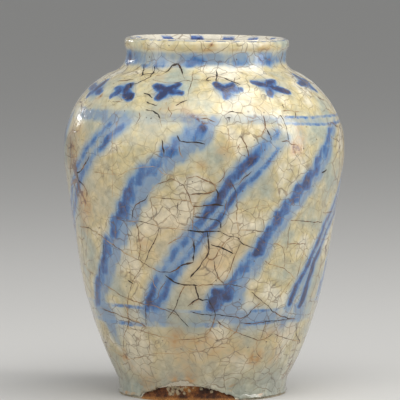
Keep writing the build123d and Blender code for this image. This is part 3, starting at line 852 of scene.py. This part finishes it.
# Bands: a wash round the neck, and grey-blue washes between each pair of lines. The wheel turned under a
# loaded brush, so the colour comes and goes round the jar.
NECK_WASH = (242.0, 252.0)
UPPER_LINES = {
    -1.4: (203.0, 211.0), -0.5: (202.5, 210.5), 0.5: (202.0, 208.0), 0.9: (200.2, 204.6), 1.3: (199.6, 204.6),
}
LOWER_LINES = {
    -1.2: (57.5, 70.5), -0.4: (57.0, 69.0), 0.2: (58.0, 67.0), 0.7: (58.5, 68.0), 1.1: (58.0, 71.0),
}


def band(low, high, soft):
    """How much of a band from one height to another covers each point, with edges 2 soft mm wide."""
    return ink(np.abs(heights - (low + high) / 2) - (high - low) / 2, soft)


def follow(lines, which):
    """The height of one line of a pair at every azimuth, a smooth wander added."""
    level = np.interp(azimuths, list(lines), [pair[which] for pair in lines.values()])
    return level + 0.35 * waves(azimuths, 0, 60.0, 61 + which)


def rising(seed, length, low, high):
    """A share that comes and goes round the jar and down it, between two strengths."""
    return low + (high - low) * np.clip(0.5 + 0.5 * waves(azimuths, runs * 0.5, length, seed), 0, 1)


upper_low, upper_high = follow(UPPER_LINES, 0), follow(UPPER_LINES, 1)
lower_low, lower_high = follow(LOWER_LINES, 0), follow(LOWER_LINES, 1)
SEEN_TO = 1.1  # radians to either side, up to which the camera sees the jar well
front_share = ink(np.abs(azimuths) - SEEN_TO, 0.2)  # one at the front, and zero behind
neck_blue = band(*NECK_WASH, 2.4)
cobalt += neck_blue * rising(51, 34.0, 0.05, 0.5) * (1 - 0.75 * front_share)
wash += neck_blue * rising(52, 30.0, 0.65, 1.05)
wash += band(upper_low, upper_high, 1.5) * rising(53, 60.0, 0.35, 0.75)
wash += band(lower_low, lower_high, 2.0) * rising(54, 50.0, 0.3, 0.85)
wash += band(lower_low - 9, lower_low, 6.0) * rising(55, 26.0, -0.5, 0.5).clip(0)
CRISP = (35, 88)  # degrees between which the upper pair of lines stays crisp
crisp = ink(np.abs(np.degrees(azimuths) - np.mean(CRISP)) - np.ptp(CRISP) / 2, 4.0)
upper_ink = np.maximum(rising(56, 70.0, 0.05, 0.6) * (1 - 0.85 * front_share), 0.4 * crisp)
lower_ink = rising(58, 46.0, 0.05, 0.44)
# Painted shadow: a broken dark ring along the crest of the lip, laid into the cobalt field, stands for the
# dark mouth that shows just behind the lip.
cobalt = np.maximum(cobalt, 1.2 * ink(runs - 2.4, 0.7) * rising(59, 14.0, -0.5, 1.3).clip(0))

# Stains round the back and sides: seeded blots like those listed for the front.
for spread, strength, number in ((9, 0.4, 26), (16, 0.28, 16)):
    for azimuth, height in draw.uniform((1.25, 8), (2 * np.pi - 1.35, 215), (number, 2)):
        away = from_place((azimuth, run_at(height)))
        stain += strength * np.exp(-((away / (spread * draw.uniform(0.7, 1.3))) ** 2))
LIP_STAIN = 253.4
stain += 0.5 * ink(np.abs(heights - LIP_STAIN) - 0.8, 1.8) * rising(57, 24.0, 0.2, 1.0)

# Cracks: the glaze shrank more than the clay as it cooled, and dirt has crept into the gaps. These are the
# ones that face the camera, from the open black ones to hair-fine ones.
CRACKS_PX = {
    "open": [
        [(169, 272.5), (176.5, 269.5), (181, 265.5), (187, 263.5), (193.5, 262)],
        [(194.5, 240), (194, 250.5), (193.5, 261.5)],
        [(204, 259.5), (199.5, 267), (196, 270.5), (190.5, 277.5)],
        [(207.5, 232), (208.5, 243.5), (209, 250.5), (206.5, 258), (204, 259.5)],
        [(195, 285.5), (197, 291), (199, 298.5)],
        [(190, 304), (193, 302), (199, 299), (202.5, 300.5), (208.5, 299.5)],
        [(165.5, 275), (168.5, 278.5), (174.5, 282), (181, 284), (185.5, 285), (198, 285.5)],
        [(187, 230), (193.5, 231), (202.5, 231.5), (211.5, 231.5), (220.5, 231)],
        [(211, 244.5), (220.5, 247), (226.5, 249.5), (233, 253.5)],
        [(77, 173), (81.5, 170.5), (87, 161.5), (89.5, 156.5)],
        [(77, 174), (79, 180.5), (84, 185), (87, 191), (87, 196.5)],
        [(162, 139.5), (162.5, 146.5), (164, 153.5)],
        [(177, 135.5), (180, 141), (185, 142), (192, 142.5), (198, 142), (205, 144)],
        [(147, 101.5), (151, 104), (157, 106)], [(187.5, 100.5), (182.5, 102), (176, 106)],
        [(145.5, 110), (153, 110.5), (158, 114), (160, 118.5)], [(118, 81.5), (125, 81), (133.5, 79.5)],
        [(140.5, 76.5), (142.5, 75), (144, 68.5), (144.5, 64.5)],
        [(140.5, 76.5), (144, 74.5), (152, 73.5), (155.5, 72.5)],
        [(155, 66), (154, 71.5), (151, 76), (145.5, 79.5), (136.5, 83.5), (132, 84.5)],
        [(164, 73.5), (168, 71.5), (172.5, 65), (175.5, 65), (179.5, 63)], [(131, 83), (132, 88)],
        [(132, 95), (130.5, 99)], [(144, 93), (148, 94.5), (152.5, 98)],
        [(173, 65), (176.5, 63.5), (179, 65), (181, 69), (183, 74.5)],
        [(206, 80.5), (208.5, 77.5), (215.5, 76), (220, 76.5), (225.5, 79), (232, 81.5), (240.5, 84.5)],
        [(217, 70.5), (216.5, 76), (216, 82)], [(206, 80.5), (211, 80.5)], [(282, 104), (284, 108)],
        [(279.5, 115), (282.5, 119)], [(295, 112.5), (295.5, 118)], [(226, 118), (231, 118)],
        [(229, 118), (229, 121.5)], [(321.5, 172.5), (326.5, 169.5)],
        [(266, 127.5), (269, 133.5), (271.5, 140)], [(127.5, 280), (133.5, 284)],
        [(203, 205.5), (216.5, 205), (223.5, 205)], [(215.5, 189), (218.5, 194), (217.5, 200)],
        [(221.5, 223), (221, 228.5)],
    ],
    "dark": [
        [
            (80, 226), (89, 228), (94.5, 231), (102.5, 236.5), (107.5, 241), (118.5, 248), (128, 255),
            (138, 259.5), (144.5, 263.5), (151.5, 268), (160.5, 271.5), (169.5, 272.5),
        ],
        [(137, 221.5), (138, 230), (139.5, 240), (140, 248), (138.5, 259.5)],
        [(160, 226.5), (157, 236.5), (151.5, 246.5), (148.5, 252.5), (144.5, 263.5)],
        [(185.5, 285.5), (181, 292.5), (177.5, 302.5), (174, 310.5), (167.5, 318.5)],
        [
            (104, 284), (111.5, 289), (119.5, 294.5), (128, 298.5), (137, 302), (144.5, 304), (156, 306),
            (163, 309), (171, 311.5), (180, 316),
        ],
        [(199, 300), (192.5, 302.5), (187, 306)],
        [(207.5, 293.5), (209.5, 302.5), (214, 309), (215.5, 315), (213, 324), (210, 331), (206, 335)],
        [(186.5, 192), (189.5, 196.5), (190.5, 201.5)],
        [(191.5, 194), (205, 194), (212, 192), (216.5, 190.5)], [(103.5, 240), (103.5, 247), (103, 254.5)],
        [(100.5, 263), (99, 272), (100, 281), (103, 284.5)], [(146, 306), (146, 315), (146, 325.5)],
        [(103, 309), (117.5, 314), (130, 319.5), (142.5, 324), (146, 326.5)],
        [(149, 193.5), (146, 199), (135.5, 205), (133.5, 210.5), (132, 219.5)],
        [(139.5, 112.5), (139.5, 118), (137, 124)], [(162, 108), (159, 112.5)],
        [(169, 106.5), (168.5, 110), (172, 113.5), (170, 117.5)], [(179, 143), (180.5, 153.5), (183, 158)],
        [(78.5, 180.5), (78, 189.5), (78, 199)],
        [(71, 135.5), (71.5, 150), (72.5, 157), (70.5, 168), (70, 174)],
        [(119.5, 76.5), (129, 73), (136.5, 69), (142, 64.5)], [(197.5, 67.5), (201, 66.5), (206.5, 65.5)],
        [(235, 78), (234, 83)], [(277.5, 99.5), (279, 102)],
        [(227.5, 113), (232, 111), (236.5, 112.5), (243, 113)], [(200, 119), (207.5, 119), (215.5, 122.5)],
        [(263, 115.5), (265, 122), (265, 129.5)], [(240.5, 136), (245, 144), (248, 152), (249, 157)],
        [(240, 144), (237, 149)], [(256, 138), (261.5, 135), (265.5, 129), (265, 122.5), (263, 115.5)],
        [(280, 115.5), (283, 119.5), (286.5, 128.5), (288.5, 138), (289.5, 143)],
        [
            (200, 177.5), (207.5, 181.5), (214.5, 184.5), (215.5, 189), (210.5, 192.5), (200, 194),
            (190, 194.5),
        ],
        [(230, 179.5), (234, 188), (236, 193)], [(238, 184.5), (244, 177.5), (252, 171.5)],
        [(193, 216.5), (206.5, 218), (217.5, 220), (221.5, 223)], [(193, 207), (199.5, 206), (209, 205.5)],
        [(226.5, 200), (225.5, 210.5), (221.5, 218)],
        [
            (220.5, 231), (228.5, 236), (233, 236.5), (238, 238), (243.5, 244), (249.5, 247), (256, 248.5),
            (259, 250.5),
        ],
        [(206.5, 257.5), (213, 260.5), (217.5, 253.5), (221, 247), (225.5, 242), (230, 237)],
        [(240.5, 244), (237, 250.5), (233, 261), (230, 271), (223.5, 283)],
        [(214, 260.5), (215, 269), (218.5, 277.5), (222.5, 283.5)],
        [(198, 285.5), (204.5, 285), (222.5, 284.5), (232, 284), (242.5, 287)],
        [
            (190, 311), (199.5, 314), (209, 314.5), (218.5, 314), (225.5, 316), (233, 316.5), (241.5, 318.5),
            (247.5, 315), (252, 310), (258, 304.5), (261, 301.5),
        ],
        [
            (251, 292), (257, 296.5), (262.5, 302.5), (268.5, 306), (273, 312), (281, 316), (288.5, 318),
            (295, 318.5),
        ],
        [(290.5, 220), (300, 221), (308.5, 221.5), (322, 222)],
        [(281.5, 141.5), (288, 141), (290.5, 144), (296, 145)],
        [(167, 308), (175, 311.5), (185.5, 323.5), (188.5, 327)],
        [(216.5, 320), (224.5, 327), (235.5, 332), (246, 336), (258, 340), (264.5, 339), (273, 334)],
        [(239.5, 323), (236, 331.5), (228.5, 338), (215, 340)], [(266, 320), (263.5, 329.5), (260.5, 339)],
        [(239.5, 323), (252.5, 323.5), (267.5, 321), (287.5, 319.5)],
        [(295.5, 323), (296, 335), (299.5, 341.5)],
    ],
    "brown": [
        [(160.5, 226.5), (174, 228.5), (187, 230)],
        [(117.5, 219), (130, 221.5), (140.5, 221.5), (150.5, 224), (160.5, 226.5)],
        [
            (144.5, 263.5), (139, 272), (133.5, 280), (131, 287.5), (128, 296.5), (128, 306), (128.5, 319.5),
            (128.5, 330),
        ],
        [(151.5, 197), (174, 199.5), (189, 200.5), (194.5, 207), (193.5, 217), (192, 229.5)],
        [(194.5, 207), (203, 205.5)], [(178, 201.5), (178, 208), (176.5, 215)],
        [(183.5, 233), (180, 237.5), (174, 241), (167.5, 244)],
        [(82, 228.5), (82, 240), (83.5, 252.5), (85, 267)], [(86.5, 268.5), (93.5, 274)],
        [(151.5, 275.5), (154, 284.5), (158.5, 289.5)], [(165.5, 281), (158.5, 292.5), (157.5, 299)],
        [(124, 303.5), (127.5, 309), (128.5, 317)], [(166.5, 101.5), (166, 107)],
        [
            (151, 189.5), (158, 184), (167, 180.5), (172.5, 178.5), (179.5, 183), (183, 185), (186, 190),
            (189.5, 195.5),
        ],
        [(183, 184.5), (187.5, 178.5), (195.5, 176), (200, 177), (207.5, 181.5), (214.5, 184.5)],
        [(65.5, 153.5), (71.5, 158), (78, 155.5)], [(155.5, 75), (160.5, 76), (164, 73.5)],
        [(152, 79.5), (159.5, 81.5), (169.5, 83), (179.5, 82)], [(112, 102), (121, 101), (127.5, 98)],
        [(183, 74.5), (184.5, 79.5)], [(173.5, 83), (179.5, 82), (185, 80), (192, 81.5), (192.5, 79)],
        [(193.5, 70.5), (192.5, 79), (191, 83.5), (189, 91), (187.5, 96.5)],
        [(192.5, 79.5), (200.5, 80), (207, 80.5)], [(281, 111), (288, 110), (295, 112), (300.5, 111)],
        [(200, 116), (207.5, 115.5)], [(214.5, 184.5), (219.5, 181.5), (224.5, 176.5), (223.5, 167.5)],
        [(236, 193), (237, 202), (236.5, 219.5), (238, 226), (238.5, 232.5), (238, 237.5)],
        [(190, 198), (193, 207), (200, 206.5)], [(239.5, 230.5), (249.5, 230), (262.5, 231)],
        [(272.5, 243.5), (277, 244), (282, 247), (284.5, 253.5), (284.5, 267)],
        [(264.5, 261), (269.5, 264), (276, 266), (283, 268.5), (287.5, 271.5), (293.5, 276.5), (296, 280)],
        [(287.5, 244), (295, 243.5), (305, 243.5)],
        [(290.5, 224), (288, 233.5), (287.5, 244), (285.5, 251.5)],
        [(305, 244), (303, 253.5), (300, 265), (297, 276.5)],
        [(124, 302.5), (128, 312), (129, 325.5), (124, 336), (123.5, 348)],
        [(100, 306.5), (113.5, 312.5), (127, 317.5), (139, 322), (147, 327.5)],
        [(130, 327.5), (144, 331.5), (159, 336), (172.5, 339), (185.5, 339.5), (196.5, 339), (207, 336)],
        [(274, 334), (287.5, 339), (299.5, 341)], [(271.5, 128.5), (276.5, 131.5)],
    ],
    "faint": [
        [(150.5, 198), (152, 208), (154, 219.5), (157.5, 225.5)],
        [(127.5, 221.5), (126.5, 228.5), (130, 240), (132.5, 256)], [(160, 118.5), (162.5, 127)],
        [(157.5, 168), (162.5, 173), (170, 176), (172.5, 178.5)],
        [(113, 129.5), (112.5, 146.5), (113, 162.5), (112.5, 180.5), (112.5, 198)],
        [(94, 171.5), (108, 174), (122.5, 174), (131.5, 169), (144, 167), (156.5, 166.5)],
        [(152, 53), (152, 57.5), (152.5, 62)], [(253.5, 118), (249.5, 129.5)],
        [(239, 213.5), (251, 208), (262.5, 206), (270.5, 205.5)], [(261, 207), (262.5, 219), (264, 228.5)],
        [(228, 127.5), (229, 141), (228, 153)], [(291.5, 279.5), (287.5, 286), (280, 294), (281, 301.5)],
        [(149.5, 335), (149.5, 353.5)],
        [
            (105.5, 344), (119, 354), (127, 359), (137.5, 358.5), (145.5, 355), (159, 353), (176.5, 354),
            (187, 351.5), (200.5, 351.5), (211, 347.5), (226, 347),
        ],
        [(289, 339), (282, 349.5), (273, 363)], [(256.5, 340), (256.5, 353.5), (262, 359)],
    ],
}
CRACK_WIDTHS = {"open": (0.88, 0.05), "dark": (0.5, 0.42), "brown": (0.38, 0.66), "faint": (0.3, 0.85)}
STATION = 1.3


def ribbon(azimuth, run, width):
    """One crack as a thin closed strip on the glaze: four corners at each station, left, top, right and
    buried. Its middle line strays by a smooth random walk, and its width swells, shrinks and tapers."""
    wide = np.interp(run, outline_run, outline[:, 0])
    length = np.concatenate([[0], np.cumsum(np.hypot(np.diff(azimuth) * wide[1:], np.diff(run)))])
    stations = np.linspace(0, length[-1], max(4, int(length[-1] / STATION)))
    stray = np.convolve(draw.normal(0, 0.32, len(stations) + 4), [0.25, 0.5, 0.25], "same")[2:-2]
    azimuth, run = np.interp(stations, length, azimuth), np.interp(stations, length, run)
    wide = np.interp(run, outline_run, outline[:, 0])
    along = np.stack([np.gradient(azimuth) * wide, np.gradient(run)])
    across = np.stack([-along[1], along[0]]) / np.maximum(np.hypot(*along), 1e-6)
    taper = np.clip(np.minimum(stations, length[-1] - stations) / 3 + 0.35, 0, 1)
    half = width / 2 * taper * np.clip(1 + 0.35 * draw.normal(0, 1, len(stations)), 0.45, 1.8)
    offsets = stray + half * np.array([[-1], [0], [1], [0]])
    rise = np.array([[0.03], [0.06], [0.03], [-0.3]])
    return skin(azimuth + offsets * across[0] / wide, run + offsets * across[1], rise + 0 * offsets)


points, faces, tones, seeps = [], [], [], []
for kind, cracks in CRACKS_PX.items():
    width, tone = CRACK_WIDTHS[kind]
    for pixels in cracks:
        azimuth, run = on_jar(pixels)
        strip = np.moveaxis(ribbon(azimuth, run, width), 0, 1)
        count = len(strip)
        index = np.arange(count * 4).reshape(count, 4) + sum(map(len, points))
        walls = np.stack([index[:-1], np.roll(index[:-1], -1, 1), np.roll(index[1:], -1, 1), index[1:]], -1)
        faces += [*walls.reshape(-1, 4).tolist(), index[0, ::-1].tolist(), index[-1].tolist()]
        points.append(strip.reshape(-1, 3))
        fading = np.convolve(draw.normal(0, 0.3, count + 8), np.ones(9) / 4, "valid")
        tones.append(np.repeat(np.clip(tone + fading, 0, 1), 4))
        pace = np.concatenate([[0], np.cumsum(np.hypot(np.diff(azimuth) * 90, np.diff(run)))])
        even = np.linspace(0, pace[-1], max(3, int(pace[-1] / 1.5)))
        seeps.append((np.interp(even, pace, azimuth), np.interp(even, pace, run), 1.1 - tone))
crack_mesh = bpy.data.meshes.new("stained_cracks")
crack_mesh.from_pydata((np.concatenate(points) * MM).tolist(), [], faces)
form = bmesh.new()
form.from_mesh(crack_mesh)
bmesh.ops.recalc_face_normals(form, faces=form.faces)
form.to_mesh(crack_mesh)
form.free()
crack_piece = placed("stained_cracks", crack_mesh)
note(crack_piece, "tone", np.concatenate(tones))

# Dirt in a crack is dull. It is nearly black where the crack stands open and tea brown where it is fine.
dirt, tree = finish_named("dirt_in_cracks")
at = add(tree, "TexCoord", out="Object")
uneven = noise(tree, at, 9, 4.0)
shade = add(tree, "Math", noted(tree, "tone"), uneven, operation="ADD")
shade = add(tree, "Math", shade, 0.5, operation="SUBTRACT")
stained = add(tree, "ValToRGB", shade, stops=[
    (0.0, "#1C120B"), (0.3, "#3B2614"), (0.55, "#6B4724"), (0.8, "#9A7446"), (1.0, "#B5966C"),
])
add(tree, "OutputMaterial", add(tree, "BsdfPrincipled", stained, named={"Roughness": 0.6}))
crack_mesh.materials.append(dirt)
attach(crack_piece, "root")

MEAN_RADIUS = 85  # mm, about the middle of the jar's radii


def softened(field, spread):
    """A field of the glaze's grid, blurred by a bell curve `spread` mm wide through its Fourier transform.
    The rows are mirrored first, so that top and bottom don't bleed into each other."""
    doubled = np.concatenate([field, field[::-1]])
    down, round_ = np.fft.fftfreq(len(doubled))[:, None], np.fft.rfftfreq(COLUMNS)
    column_step = 2 * math.pi * MEAN_RADIUS / COLUMNS
    bell = np.exp(-2 * (math.pi * spread) ** 2 * ((down / ROW_STEP) ** 2 + (round_ / column_step) ** 2))
    return np.fft.irfft2(np.fft.rfft2(doubled) * bell, doubled.shape)[:len(field)]


seep = np.zeros(runs.shape)
for azimuth, run, strength in seeps:
    column = np.round((azimuth + np.pi) / (2 * np.pi) * COLUMNS).astype(int) % COLUMNS
    row = np.round(np.interp(run, rows, np.arange(len(rows)))).astype(int)
    np.add.at(seep, (row, column), strength)
seep = softened(seep, 1.9) * 2.4
halo = softened(np.clip(cobalt, 0, 1), 4.5)
PICKED_TO = 1.12  # radians to either side, up to which the cracks are listed one by one
crazed = 1 - 0.8 * ink(np.abs(azimuths) - PICKED_TO, 0.12) + 0 * runs

fields = {
    "cobalt": cobalt, "wash": wash, "halo": halo, "stain": stain, "warm": warm, "seep": seep,
    "crazed": crazed, "smoke": smoke_grey, "upper_ink": upper_ink, "lower_ink": lower_ink,
    "upper_low": heights - upper_low, "upper_high": heights - upper_high,
    "lower_low": heights - lower_low, "lower_high": heights - lower_high,
}
for name, values in fields.items():
    note(glaze_piece, name, np.concatenate([values, behind]))

# Clear alkaline glaze over white slip: the eye sees a cream to bluish white through a glassy coat, dirty
# cracks, pinholes where bubbles burst, and cobalt that has bled into its surroundings.
CELL = 17.0
crazed_glaze, tree = finish_named("crazed_alkaline_glaze")
at = add(tree, "TexCoord", out="Object")
height = add(tree, "SeparateXYZ", at, out="Z")
field = {name: noted(tree, name) for name in fields}
blotch = noise(tree, at, 34, 4.0, 0.55)
mottle = noise(tree, at, 5.5, 5.0, 0.62)
speck = noise(tree, at, 1.6, 3.0, 0.6)
flowing = add(tree, "Mapping", at, named={"Scale": (1, 1, 0.22)})
streak = noise(tree, flowing, 6, 4.0, 0.6)
cream = add(tree, "ValToRGB", blotch, stops=[
    (0.36, "#B3B9A6"), (0.44, "#CDC6A4"), (0.52, "#DBCA95"), (0.62, "#F0E7CB"),
])
near_foot = add(tree, "MapRange", height, 45 * MM, 6 * MM, 0.0, 0.8)
cool = add(tree, "ValToRGB", streak, stops=[(0.35, "#97A096"), (0.55, "#B4BAAC"), (0.75, "#C4C2AC")])
body = over(tree, near_foot, cream, cool)
warmth = add(tree, "Math", field["warm"], 0.55, operation="MULTIPLY", use_clamp=True)
body = over(tree, warmth, body, "#EBCF9E")
uneven = add(tree, "MapRange", mottle, 0.3, 0.7, 0.72, 1.16)
body = shaded(tree, body, uneven)
painted_flank_shade = add(tree, "MapRange", height, 208 * MM, 165 * MM, 1.0, 0.8)  # painted shade: the flank is darker than the shoulder, which faces the light from above
body = shaded(tree, body, painted_flank_shade)

patchy = add(tree, "MapRange", mottle, 0.35, 0.65, 0.2, 1.5)
stain_edge = times(tree, patchy, field["stain"])
stain_mask = add(tree, "MapRange", stain_edge, 0.05, 0.85, 0.0, 0.85)
body = over(tree, stain_mask, body, "#B18347")

# Washes and cobalt. Noise breaks the wash into cloudy, runny patches, and shifts the edge of each stroke.
brushed = add(tree, "Mix", 0.5, mottle, streak, data_type="FLOAT")
cloud = add(tree, "MapRange", brushed, 0.35, 0.65, 0.55, 1.2)
bleed = add(tree, "Math", field["halo"], 1.5, field["wash"], operation="MULTIPLY_ADD")
bleed = times(tree, bleed, cloud)
bleed_mask = add(tree, "MapRange", bleed, 0.08, 0.95, 0.0, 0.86)
bled = add(tree, "ValToRGB", bleed, stops=[(0.15, "#B0BCBC"), (0.55, "#8BA2B0"), (1.0, "#6B8AAB")])
body = over(tree, bleed_mask, body, bled)
smoked = times(tree, field["smoke"], cloud)
smoked = add(tree, "MapRange", smoked, 0.05, 1.0, 0.0, 0.75)
body = over(tree, smoked, body, "#7F887E")
# The cobalt field carries the painted shadow along the crest of the lip as well as the paint.
inked_and_rim_shadow = field["cobalt"]
LINES = {  # the half width of each painted line in mm, its soft edge, and what says how strong it is
    "upper_low": (0.4, 1.9, "upper_ink"), "upper_high": (0.4, 1.9, "upper_ink"),
    "lower_low": (0.6, 3.2, "lower_ink"), "lower_high": (0.4, 2.4, "lower_ink"),
}
for name, (core, edge, strength) in LINES.items():
    off = add(tree, "Math", field[name], add(tree, "MapRange", mottle, 0.0, 1.0, -1.2, 1.2), operation="ADD")
    off = add(tree, "Math", off, operation="ABSOLUTE")
    drawn = add(tree, "MapRange", off, core, edge, 1.0, 0.0, interpolation_type="SMOOTHSTEP")
    drawn = times(tree, drawn, field[strength])
    inked_and_rim_shadow = add(tree, "Math", inked_and_rim_shadow, drawn, operation="MAXIMUM")
thin = add(tree, "MapRange", brushed, 0.36, 0.64, 0.5, 1.35)
inked_and_rim_shadow = times(tree, inked_and_rim_shadow, thin)
depth = add(tree, "ValToRGB", inked_and_rim_shadow, stops=[
    (0.08, "#9AB0C2"), (0.3, "#648BB4"), (0.52, "#37689F"), (0.74, "#1D4782"), (0.95, "#0B2355"),
])
ink_and_rim_shadow_mask = add(tree, "MapRange", inked_and_rim_shadow, 0.04, 0.5, 0.0, 0.97, interpolation_type="SMOOTHSTEP")
body = over(tree, ink_and_rim_shadow_mask, body, depth)
crusted = add(tree, "MapRange", stain_edge, 0.95, 1.35, 0.0, 0.85)
body = over(tree, crusted, body, "#5E331B")

# Crackle: the borders of bent cells about 17 mm wide, strong at the sides and back and faint at the front,
# and those of finer cells, which show all round.
drift = noise(tree, at, 24, out="Color")
drift = add(tree, "VectorMath", drift, (0.5, 0.5, 0.5), operation="SUBTRACT")
drift = add(tree, "VectorMath", drift, named={"Scale": 16 * MM}, operation="SCALE")
bent = add(tree, "VectorMath", at, drift, operation="ADD")
border = add(tree, "TexVoronoi", bent, named={"Scale": 1 / (CELL * MM)}, feature="DISTANCE_TO_EDGE")
fine_cell = {"Scale": 1 / (0.52 * CELL * MM)}
fine_border = add(tree, "TexVoronoi", bent, named=fine_cell, feature="DISTANCE_TO_EDGE")
vary = add(tree, "MapRange", blotch, 0.35, 0.65, 0.016, 0.034)
crack = add(tree, "MapRange", border, times(tree, vary, 0.3), vary, 1.0, 0.0)
present = add(tree, "MapRange", streak, 0.36, 0.5, 0.15, 1.0)
crack = times(tree, crack, present)
crack = times(tree, crack, field["crazed"])
fine = add(tree, "MapRange", fine_border, 0.01, 0.04, 0.6, 0.0)
somewhere = add(tree, "MapRange", blotch, 0.42, 0.56, 0.15, 1.0)
fine = times(tree, fine, somewhere)
crack = add(tree, "Math", crack, fine, operation="MAXIMUM")
seeping = times(tree, field["seep"], mottle)
seeping = add(tree, "MapRange", seeping, 0.08, 0.9, 0.0, 0.5)
body = over(tree, seeping, body, "#8E6A3E", blend_type="MULTIPLY")
around = add(tree, "MapRange", border, 0.0, 0.11, 0.22, 0.0)
around = times(tree, around, field["crazed"])
body = over(tree, around, body, "#A98250")
crack_tone = add(tree, "ValToRGB", mottle, stops=[(0.35, "#2A1B10"), (0.5, "#5E4022"), (0.68, "#93703F")])
body = over(tree, crack, body, crack_tone)

# Pinholes: burst bubbles with dirt in them, under a millimetre wide, in cells of 6.5 mm.
PIN_CELL = 6.5
pin = add(tree, "TexVoronoi", at, named={"Scale": 1 / (PIN_CELL * MM)})
pin_size = add(tree, "MapRange", speck, 0.42, 0.6, 0.0, 0.11)
pinned = add(tree, "Math", pin, pin_size, operation="LESS_THAN")
pin_mask = times(tree, pinned, 0.75)
body = over(tree, pin_mask, body, "#4A3522")

relief = add(tree, "Math", mottle, 0.5, streak, operation="MULTIPLY_ADD")
relief = add(tree, "Math", crack, -0.6, relief, operation="MULTIPLY_ADD")
relief = add(tree, "Math", pinned, -0.5, relief, operation="MULTIPLY_ADD")
surface(tree, body, 0.42, relief, 0.42, 0.35, coat=0.12)
glaze_piece.data.materials.append(crazed_glaze)
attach(glaze_piece, "root")
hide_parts("outer_glaze")

# The inner glaze: the same glass, swilled round the inside and tipped out over the lip. It is thin and
# greyer, with short blue strokes round the inner edge of the lip.
INNER_GLAZE = 1.0
MOUTH_RADIUS = 52.0
WALL_ALL = 9.2  # the clay and the coats on both its sides together
THROAT_ROUND = 5.5
FLOOR_LEVEL = 21.0
CORNER_TOP = 36.0  # the height at which the wall bends into the floor
CORNER_WIDE = 21.0
CORNER_HEADING = -112  # degrees
BOWL_LEVEL = 30.0  # the height whose outer radius, less the wall, places that bend
inner_arc = shoulder_arc - WALL_ALL
throat_reach = MOUTH_RADIUS + THROAT_ROUND - SHOULDER_INSET
throat_turn = math.degrees(math.acos(throat_reach / (inner_arc + THROAT_ROUND)))
throat_height = belly_height + (inner_arc + THROAT_ROUND) * math.sin(math.radians(throat_turn))
bowl_radius = outline[np.argmin(np.abs(outline[:, 1] - BOWL_LEVEL)), 0]
wall_foot = np.array([bowl_radius - WALL_ALL, CORNER_TOP])
inside = walk((LIP_CENTRE, HEIGHT), 180, [
    ("bend", LIP_ROLL, 90),
    ("run", HEIGHT - LIP_ROLL - throat_height),
    ("bend", THROAT_ROUND, throat_turn),
    ("bend", inner_arc, -throat_turn),
    ("bend", BELLY_RADIUS - WALL_ALL, -FLANK_LEAN),
    ("run", flank_run),
    ("reach", tuple(wall_foot)),
], 0.5)
floor_edge = (wall_foot[0] - CORNER_WIDE, FLOOR_LEVEL)
corner = walk(wall_foot, CORNER_HEADING, [("reach", floor_edge)], 1.0)[1:]
across_floor = np.stack([np.linspace(corner[-1, 0], 0, 24), np.full(24, FLOOR_LEVEL)], -1)[1:]
inner_face = np.concatenate([inside[::3], corner, across_floor])
inner_heading = np.gradient(inner_face, axis=0)
inner_heading /= np.hypot(*inner_heading.T)[:, None]
outward = np.stack([-inner_heading[:, 1], inner_heading[:, 0]], -1)
buried = (inner_face - outward * INNER_GLAZE)[::-3]
buried[0, 0] = 0.0
profile = np.concatenate([buried, inner_face])
INNER_COLUMNS = 240
inner_azimuths = np.linspace(-np.pi, np.pi, INNER_COLUMNS, endpoint=False)
inner_grid = turned(profile, inner_azimuths)
inner_piece = shell("inner_glaze_poured", inner_grid, ring=False)
DASHES = (-146, -111, -85, -61, -35, -9, 17, 43, 69, 95, 115, 139, 162, 188)  # the strokes' azimuths, degrees
DASH_HEIGHT = 255.6
dash = np.zeros(inner_grid.shape[:2])
for middle in DASHES:
    away = np.degrees(np.abs(wrapped(inner_azimuths - math.radians(middle))))
    stroked = ink(away - draw.uniform(3.5, 5.5), 1.6) * ink(np.abs(profile[:, 1:] - DASH_HEIGHT) - 3.4, 1.2)
    dash = np.maximum(dash, stroked * draw.uniform(0.6, 1.0))
note(inner_piece, "dash", dash)

poured_glaze, tree = finish_named("poured_inner_glaze")
at = add(tree, "TexCoord", out="Object")
height = add(tree, "SeparateXYZ", at, out="Z")
blotch = noise(tree, at, 26, 4.0)
mottle = noise(tree, at, 4.5, 5.0, 0.6)
pale = add(tree, "ValToRGB", blotch, stops=[(0.35, "#B7AE95"), (0.52, "#CFC6AC"), (0.7, "#DED6BF")])
lip_share = add(tree, "MapRange", height, 236 * MM, 252 * MM, 0.0, 1.0)
pale = over(tree, lip_share, pale, "#E2DAC6")
uneven = add(tree, "MapRange", mottle, 0.3, 0.7, 0.85, 1.07)
pale = shaded(tree, pale, uneven)
brushed = times(tree, noted(tree, "dash"), add(tree, "MapRange", mottle, 0.35, 0.6, 0.55, 1.1))
blue = add(tree, "ValToRGB", brushed, stops=[(0.1, "#8FA3BC"), (0.5, "#3F5E9C"), (0.9, "#14285E")])
pale = over(tree, add(tree, "MapRange", brushed, 0.02, 0.4), pale, blue)
border = add(tree, "TexVoronoi", at, named={"Scale": 1 / (13 * MM)}, feature="DISTANCE_TO_EDGE")
crack = add(tree, "MapRange", border, 0.006, 0.022, 0.65, 0.0)
pale = over(tree, crack, pale, "#6F5232")
surface(tree, pale, 0.4, mottle, 0.3, 0.3, coat=0.09)
inner_piece.data.materials.append(poured_glaze)
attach(inner_piece, "root")
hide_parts("inner_glaze")
